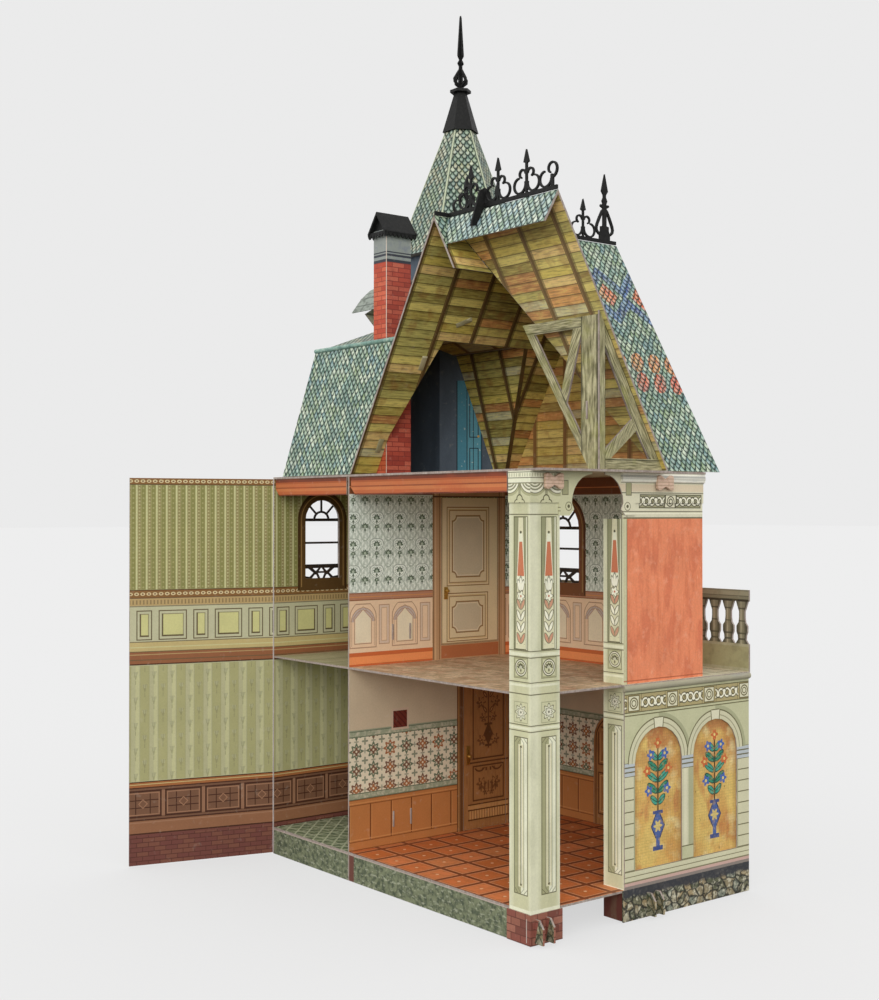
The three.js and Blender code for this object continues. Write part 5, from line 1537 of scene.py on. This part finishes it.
def drawHood(ink):
    ink.stain(5, 4, 0.48, 0.66, "#5b6058", 0.8)
    y = ink.along(back)
    ink(y.wrap(7).below(1.0), "#4c524b", 0.8)


dormerPaper = printed("dormerPaper", drawDormer, ground="#c3bfa6")
hoodPaper = printed("hoodPaper", drawHood, ground="#8f978c")
dress("dormer_walls", left=dormerPaper, right=dormerPaper, front=dormerPaper, back=dormerPaper)
dress("dormer_hood", edge=hoodPaper, left=cardEdge, right=cardEdge)

balustradeLook = {
    "ground": "#8b8970", "deep": "#45463a", "pale": "#b3b196", "base": "#a3a079", "rail": "#82826b",
}


def drawBalustrade(ink, direction, start, pitch):
    u, v = ink.along(direction, start), ink.along(up)
    ink.use(balustradeLook)
    shaft = u.fold(pitch)
    posts = v.between(236, 277)
    ink(shaft.size().ramp(1.2, 4.6) & posts, "deep", 0.85)
    ink(shaft.near(-0.9, 0.8) & posts, "pale", 0.8)
    ink((v.near(240.5, 0.9) | v.near(246, 0.8) | v.near(258, 0.6) | v.near(270, 0.8)) & posts, "deep", 0.8)
    ink(v.between(271, 277) & shaft.near(0, 4.4), "rail", 0.6)
    ink(v.above(277), "rail")
    ink(v.between(282.5, 286.5), "pale", 0.35)
    ink.line(v, 277.8, 2.2, "#2f3026", 0.9)
    ink.line(v, 282, 0.7, "deep", 0.6)
    ink(v.below(236), "base")
    ink(v.between(233.4, 236) | v.below(213), "pale", 0.6)
    ink.stain(12, 4, 0.5, 0.7, "#6f6f52", 0.45)


balustradeRear = printed("balustradeRear", drawBalustrade, right, (-257.6, 0, 0), 16.81)
balustradeSide = printed("balustradeSide", drawBalustrade, back, (0, 216, 0), 15.75)
dress("balustrade_rear", front=balustradeRear, back=balustradeRear)
dress("balustrade_left", right=balustradeSide, left=balustradeSide)

# doors
doorLook = {"ground": "#dec9a0", "line": "#957048", "pale": "#ecdcb9", "grey": "#bfb19a", "gold": "#c39c58"}


def drawUpperDoor(ink):
    u, v = ink.ways(back, up)
    ink.use(doorLook)
    for middle, rise, halfU, halfV in ((152.2, 327, 21.5, 32), (151.3, 253, 20.7, 16)):
        p, q = u - middle, v - rise
        notch = (p.size() - halfU).hypot(q.size() - halfV)
        panel = boxEdge(p, q, halfU, halfV) | (5.5 - notch)
        outer = boxEdge(p, q, halfU + 7, halfV + 9)
        ink(outer.near(-1.6, 1.5), "gold", 0.45)
        ink(outer.near(0, 0.5) | outer.near(-3.4, 0.4), "line")
        ink(outer.near(-1.2, 0.4), "pale", 0.7)
        ink(panel.below(0), "grey", 0.6)
        ink(panel.near(0, 0.7), "line")
        ink(panel.near(-1.8, 0.4), "pale", 0.8)
    ink(u.marks(0.6, 116.8, 192.8) | v.near(226, 0.7), "line", 0.8)


def drawLowerDoor(ink):
    drawCarvedDoor(ink, *ink.ways(back, up))
    ink.stain(2, 4, 0.5, 0.7, "dark", 0.3, (1, 1, 8))


def drawEntranceDoor(ink):
    ink.use(carved)
    u, v = ink.ways(right, up)
    p = u + 177
    d = archReach(u, v, -177, 118)
    ink.stain(2, 4, 0.48, 0.7, "dark", 0.5, (1, 1, 9))
    ink(p.near(0, 0.8) | d.near(27, 0.7), "dark")
    for rise, half in ((62, 22), (113, 20)):
        ink(boxEdge(p.size() - 14, v - rise, 9, half).near(0, 0.7) & d.below(25), "dark")
        ink(boxEdge(p.size() - 14, v - rise, 6.5, half - 3).near(0, 0.5) & d.below(22), "pale")


upperDoorPrint = printed("upperDoorPrint", drawUpperDoor)
lowerDoorPrint = printed("lowerDoorPrint", drawLowerDoor)
entrancePrint = printed("entrancePrint", drawEntranceDoor)
dress("upper_door_leaf", right=upperDoorPrint, left=upperDoorPrint)
dress("lower_door_leaf", right=lowerDoorPrint, left=lowerDoorPrint)
dress("entrance_door_leaf", front=entrancePrint, back=entrancePrint)

brassLook = {"base": "#c29a4e", "dark": "#7a5a26", "roughness": 0.34}


def makeBrass():
    material = bpy.data.materials.new("brass")
    material.use_nodes = True
    tree = material.node_tree
    shader = tree.nodes["Principled BSDF"]
    ink = Ink(tree, brassLook["base"])
    tarnish = cloud(tree, 1.6, 4)
    ink(tarnish.ramp(0.5, 0.75), brassLook["dark"], 0.7)
    plug(tree, shader.inputs["Base Color"], ink.colour)
    plug(tree, shader.inputs["Roughness"], (tarnish - 0.5) * 0.4 + brassLook["roughness"])
    shader.inputs["Metallic"].default_value = 0.85
    bump = tree.nodes.new("ShaderNodeBump")
    bump.inputs["Strength"].default_value = 0.15
    bump.inputs["Distance"].default_value = 0.0002
    plug(tree, bump.inputs["Height"], tarnish)
    tree.links.new(bump.outputs[0], shader.inputs["Normal"])
    return material


brass = makeBrass()
for name in ("upper_door_knob", "lower_door_knob", "entrance_door_knob"):
    dress(name, edge=brass)
print("doors and ironwork finished")

# small raised parts: lip, rolls, scallops, consoles, tabs, a rafter and door plates
trimLook = {"lip": 3.3, "roll": 2.3, "scallop": 2.5, "bow": (3.2, 21, 12), "batten": 6.4}


def startBlock(size, spot, turn=(0, 0, 0)):
    bpy.ops.object.select_all(action="DESELECT")
    bpy.ops.mesh.primitive_cube_add(size=1, location=place(*spot), rotation=turn,
                                    scale=[c / 1000 for c in size])
    return bpy.context.object


def startRod(radius, length, spot, turn, sides=20):
    bpy.ops.object.select_all(action="DESELECT")
    bpy.ops.mesh.primitive_cylinder_add(vertices=sides, radius=radius / 1000, depth=length / 1000,
                                        location=place(*spot), rotation=turn)
    return bpy.context.object


def edit(tool, **settings):  # one tool of the edit mode on the whole piece
    bpy.ops.object.mode_set(mode="EDIT")
    bpy.ops.mesh.select_all(action="SELECT")
    tool(**settings)
    bpy.ops.object.mode_set(mode="OBJECT")


def roundEdges(width, steps=2):
    edit(bpy.ops.mesh.bevel, offset=width / 1000, segments=steps, affect="EDGES", clamp_overlap=True)


def halve(spot, away):  # cut the piece through a spot and keep the side that looks away
    edit(bpy.ops.mesh.bisect, plane_co=place(*spot), plane_no=away, use_fill=True, clear_inner=True)


def finishPart(piece, name, material, body="house"):
    bpy.ops.object.transform_apply(location=True, rotation=True, scale=True)
    edit(bpy.ops.mesh.normals_make_consistent, inside=False)
    bpy.ops.object.shade_smooth_by_angle(angle=math.radians(35))
    piece.name = name
    piece.data.materials.clear()
    piece.data.materials.append(material)
    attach(piece, body)


def repeat(piece, way, count):  # copies in a row, as one piece
    row = piece.modifiers.new("row", "ARRAY")
    row.use_relative_offset, row.use_constant_offset = False, True
    row.count = count
    row.constant_offset_displace = [c / 1000 for c in way]
    bpy.ops.object.modifier_apply(modifier=row.name)


# the half-round lip of the terrace above the arcade
lipSpot, lipLength = (1.3, 194.5, 206.4), 172
lip = startRod(trimLook["lip"], lipLength, lipSpot, (math.pi / 2, 0, 0))
halve(lipSpot, right)
finishPart(lip, "terraceLip", cornice)

rollPaint = printed(
    "rollPaint", drawStains, (4, 4, 0.45, 0.62, "#a9bfae", 0.8), (9, 3, 0.52, 0.66, "#4d6f66", 0.6),
    ground="#7b9c90",
)
rollEnd = ridgeX - (ridgeZ - mansardTopZ) / math.tan(steep) - 2.5
for name, length, spot, way in (
    ("mansardRollFront", rollEnd + 369, ((rollEnd - 369) / 2, 28, mansardTopZ + 0.6), (0, math.pi / 2, 0)),
    ("mansardRollLeft", 138, (-369, 97, mansardTopZ + 0.6), (math.pi / 2, 0, 0)),
):
    roll = startRod(trimLook["roll"], length, spot, way, 14)
    roundEdges(0.3, 1)
    finishPart(roll, name, rollPaint)

# scallops under the chimney cap's eaves
low, high = [(Vector(end) - corner) * 1000 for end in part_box("chimney_cap")]
reach = trimLook["scallop"]
sideRow, frontRow = ((0, 2 * reach, 0), (0, math.pi / 2, 0), 8), ((2 * reach, 0, 0), (math.pi / 2, 0, 0), 6)
for side, x, y, lift, (way, turn, count) in (
    ("Right", high.x - 0.9, low.y + reach, 0.8, sideRow),
    ("Left", low.x + 0.9, low.y + reach, 0.8, sideRow),
    ("Front", low.x + reach, low.y + 1.5, 1, frontRow),
    ("Rear", low.x + reach, high.y - 1.5, 1, frontRow),
):
    start = (x, y, low.z + lift)
    disc = startRod(reach, 1.0, start, turn, 16)
    halve(start, down)
    bpy.ops.object.transform_apply(location=False, rotation=True, scale=True)
    edit(bpy.ops.transform.resize, value=(1, 1, 2.3), center_override=place(*start))
    repeat(disc, way, count)
    finishPart(disc, "capScallops" + side, blackCard)


def drawBow(ink):
    v = ink.along(up)
    ink.stain(4, 3, 0.5, 0.7, "#a98468", 0.6)
    ink((v - 387).fold(3).near(0, 0.4), "#8c6a52", 0.45)


bowPaint = printed("bowPaint", drawBow, ground="#d6b8a0")

# consoles shaped like bows, on the capital's side and on the frieze
for name, middle in (("consoleCapital", 23), ("consoleFrieze", 160.5)):
    spot = (4.2, middle, 389.4)
    bow = startBlock(trimLook["bow"], spot)
    bpy.ops.object.transform_apply(location=True, rotation=True, scale=True)
    edit(bpy.ops.mesh.subdivide, number_cuts=5)
    for reach, squeeze in ((8, 1.25), (4.5, 0.7), (2, 0.55)):  # widest beside the knot, narrow in it
        bpy.ops.object.mode_set(mode="EDIT")
        bpy.ops.mesh.select_all(action="DESELECT")
        bpy.ops.object.mode_set(mode="OBJECT")
        for vertex in bow.data.vertices:
            vertex.select = abs(vertex.co.y - place(0, middle).y) < reach / 1000
        bpy.ops.object.mode_set(mode="EDIT")
        bpy.ops.transform.resize(value=(1, 1, squeeze), center_override=place(*spot))
        bpy.ops.object.mode_set(mode="OBJECT")
    soft = bow.modifiers.new("soft", "SUBSURF")
    soft.levels = soft.render_levels = 2
    bpy.ops.object.modifier_apply(modifier=soft.name)
    finishPart(bow, name, bowPaint)

# card tabs that come through the slots, and a rafter over the joint of the left slope and the mansard's rear
inwards = Vector((math.sin(steep), 0, -math.cos(steep)))


def underSlope(way):  # the turn of a strip that lies along a way under the left slope
    return Matrix((way, inwards.cross(way), inwards)).transposed().to_euler()


def drawRafter(ink):
    grain = ink.cloud(2, 4, (5, 3, 9))
    ink.use(plankLook)
    ink(grain.ramp(0.45, 0.65), "#43371a", 0.8)
    ink(grain.ramp(0.6, 0.75), "beamPale", 0.5)


rafterWood = printed("rafterWood", drawRafter, ground=plankLook["beam"])
jointTop, jointFoot = Vector((-190.2, 166.6, 531)), Vector((-264.6, 204.6, 402))
jointWay = (jointFoot - jointTop).normalized()
jointSpot = (jointTop + jointFoot) / 2 + inwards * 0.8
jointSize = ((jointFoot - jointTop).length, trimLook["batten"], 1.6)
tabSpot = Vector((-179.4, 74.4, 548)) + inwards * 1.6
tabTurn = underSlope(Vector((0.228, 0.889, 0.396)).normalized())
upright, lean = (0, 0, 0), (0, math.pi / 2 - steep, 0)
roofTab, wallTab = (1.6, 6, 15), (1.6, 1.8, 16)
for name, size, spot, turn, width, material, slotName in (
    ("roofTabMiddle", roofTab, (-201.7, 41.8, 507.5), lean, 0.5, boards, "roof_planks"),
    ("roofTabLow", roofTab, (-247.1, 23.1, 428.5), lean, 0.5, boards, "roof_planks"),
    ("postTab", wallTab, (-3.5, 69.4, 452), upright, 0.5, cardEdge, "grey_timber"),
    ("hallTabFront", wallTab, (-265.6, 53, 242), upright, 0.5, cardEdge, "printed_walls"),
    ("hallTabBack", wallTab, (-265.6, 75, 242), upright, 0.5, cardEdge, "printed_walls"),
    ("lowerTabFront", wallTab, (-265.6, 54, 53.5), upright, 0.5, cardEdge, "carved_door"),
    ("lowerTabBack", wallTab, (-265.6, 76, 53.5), upright, 0.5, cardEdge, "carved_door"),
    ("roofTabHigh", (18, 4.5, 1.6), tabSpot, tabTurn, 0.5, boards, "roof_planks"),
    ("jointRafter", jointSize, jointSpot, underSlope(jointWay), 0.4, rafterWood, "roof_planks"),
):
    tab = startBlock(size, spot, turn)
    roundEdges(width)
    finishPart(tab, name, material)

# brass plates behind the doors' pulls
for part, tall in (("upper", 13), ("lower", 20)):
    low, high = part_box(part + "_door_knob")
    middle = ((low + high) / 2 - corner) * 1000
    spot = ((low.x - corner.x) * 1000 + 0.3, middle.y, middle.z + 3 - (24 - tall) / 2)
    plate = startBlock((0.7, 5, tall), spot)
    bpy.ops.object.transform_apply(location=False, rotation=True, scale=True)
    roundEdges(0.3)
    finishPart(plate, part + "DoorPlate", brass, part + "_door")
print("raised parts added")

# studio: pale floor, soft light, the photograph's camera
studio = {"ambient": 1.0, "key": 1.45, "keyFrom": (0.66, -0.7, 0.28),
          "fill": 0.4, "fillFrom": (-0.4, -0.8, 0.2), "background": 0.83,
          "floor": 0.2, "glow": 0.622, "softness": 45, "fillSoftness": 40, "film": 36}


def addSun(name, strength, source, softness):
    lamp = bpy.data.lights.new(name, "SUN")
    lamp.energy = strength
    lamp.angle = math.radians(softness)
    sun = bpy.data.objects.new(name, lamp)
    sun.rotation_euler = Vector(source).to_track_quat("Z", "Y").to_euler()
    bpy.context.scene.collection.objects.link(sun)


addSun("keyLight", studio["key"], studio["keyFrom"], studio["softness"])
addSun("fillLight", studio["fill"], studio["fillFrom"], studio["fillSoftness"])

world = bpy.data.worlds.new("studioWorld")
bpy.context.scene.world = world
world.use_nodes = True
skyTree = world.node_tree
sky = skyTree.nodes["Background"]
seen = skyTree.nodes.new("ShaderNodeLightPath")
anySeen = maths(skyTree, "MAXIMUM", seen.outputs["Is Camera Ray"], seen.outputs["Is Glossy Ray"])
level = anySeen * (studio["background"] - studio["ambient"]) + studio["ambient"]
plug(skyTree, sky.inputs["Strength"], level)
sky.inputs["Color"].default_value = (1, 1, 1, 1)

bpy.ops.object.select_all(action="DESELECT")
bpy.ops.mesh.primitive_plane_add(size=60, location=(0, 0, -0.0005))
floor = bpy.context.object
floor.name = "studioFloor"
floorMaterial = bpy.data.materials.new("studioFloor")
floorMaterial.use_nodes = True
floorTree = floorMaterial.node_tree
floorShader = floorTree.nodes["Principled BSDF"]
floorShader.inputs["Roughness"].default_value = 0.9
floorShader.inputs["Specular IOR Level"].default_value = 0
floorShader.inputs["Base Color"].default_value = (studio["floor"],) * 3 + (1,)
floorShader.inputs["Emission Color"].default_value = (1, 1, 1, 1)
floorSeen = floorTree.nodes.new("ShaderNodeLightPath")
plug(floorTree, floorShader.inputs["Emission Strength"],
     maths(floorTree, "MULTIPLY", floorSeen.outputs["Is Camera Ray"], studio["glow"]))
floor.data.materials.append(floorMaterial)

photo = {"from": (870.5, -787.2, 363.1), "turn": 51.6, "rise": 0.49, "focal": 1397.6, "height": 1000}
turn, rise = math.radians(photo["turn"]), math.radians(photo["rise"])
ahead = Vector((-math.sin(turn) * math.cos(rise), math.cos(turn) * math.cos(rise), math.sin(rise)))
aside = Vector((math.cos(turn), math.sin(turn), 0))
lens = bpy.data.cameras.new("photoCamera")
lens.sensor_width = studio["film"]
lens.lens = photo["focal"] / photo["height"] * studio["film"]
lens.clip_start = 0.01
camera = bpy.data.objects.new("photoCamera", lens)
spot = Matrix((aside, aside.cross(ahead), -ahead)).transposed().to_4x4()
spot.translation = place(*photo["from"])
camera.matrix_world = spot
bpy.context.scene.collection.objects.link(camera)
bpy.context.scene.camera = camera
bpy.context.scene.view_settings.view_transform = "Standard"
print("studio set")
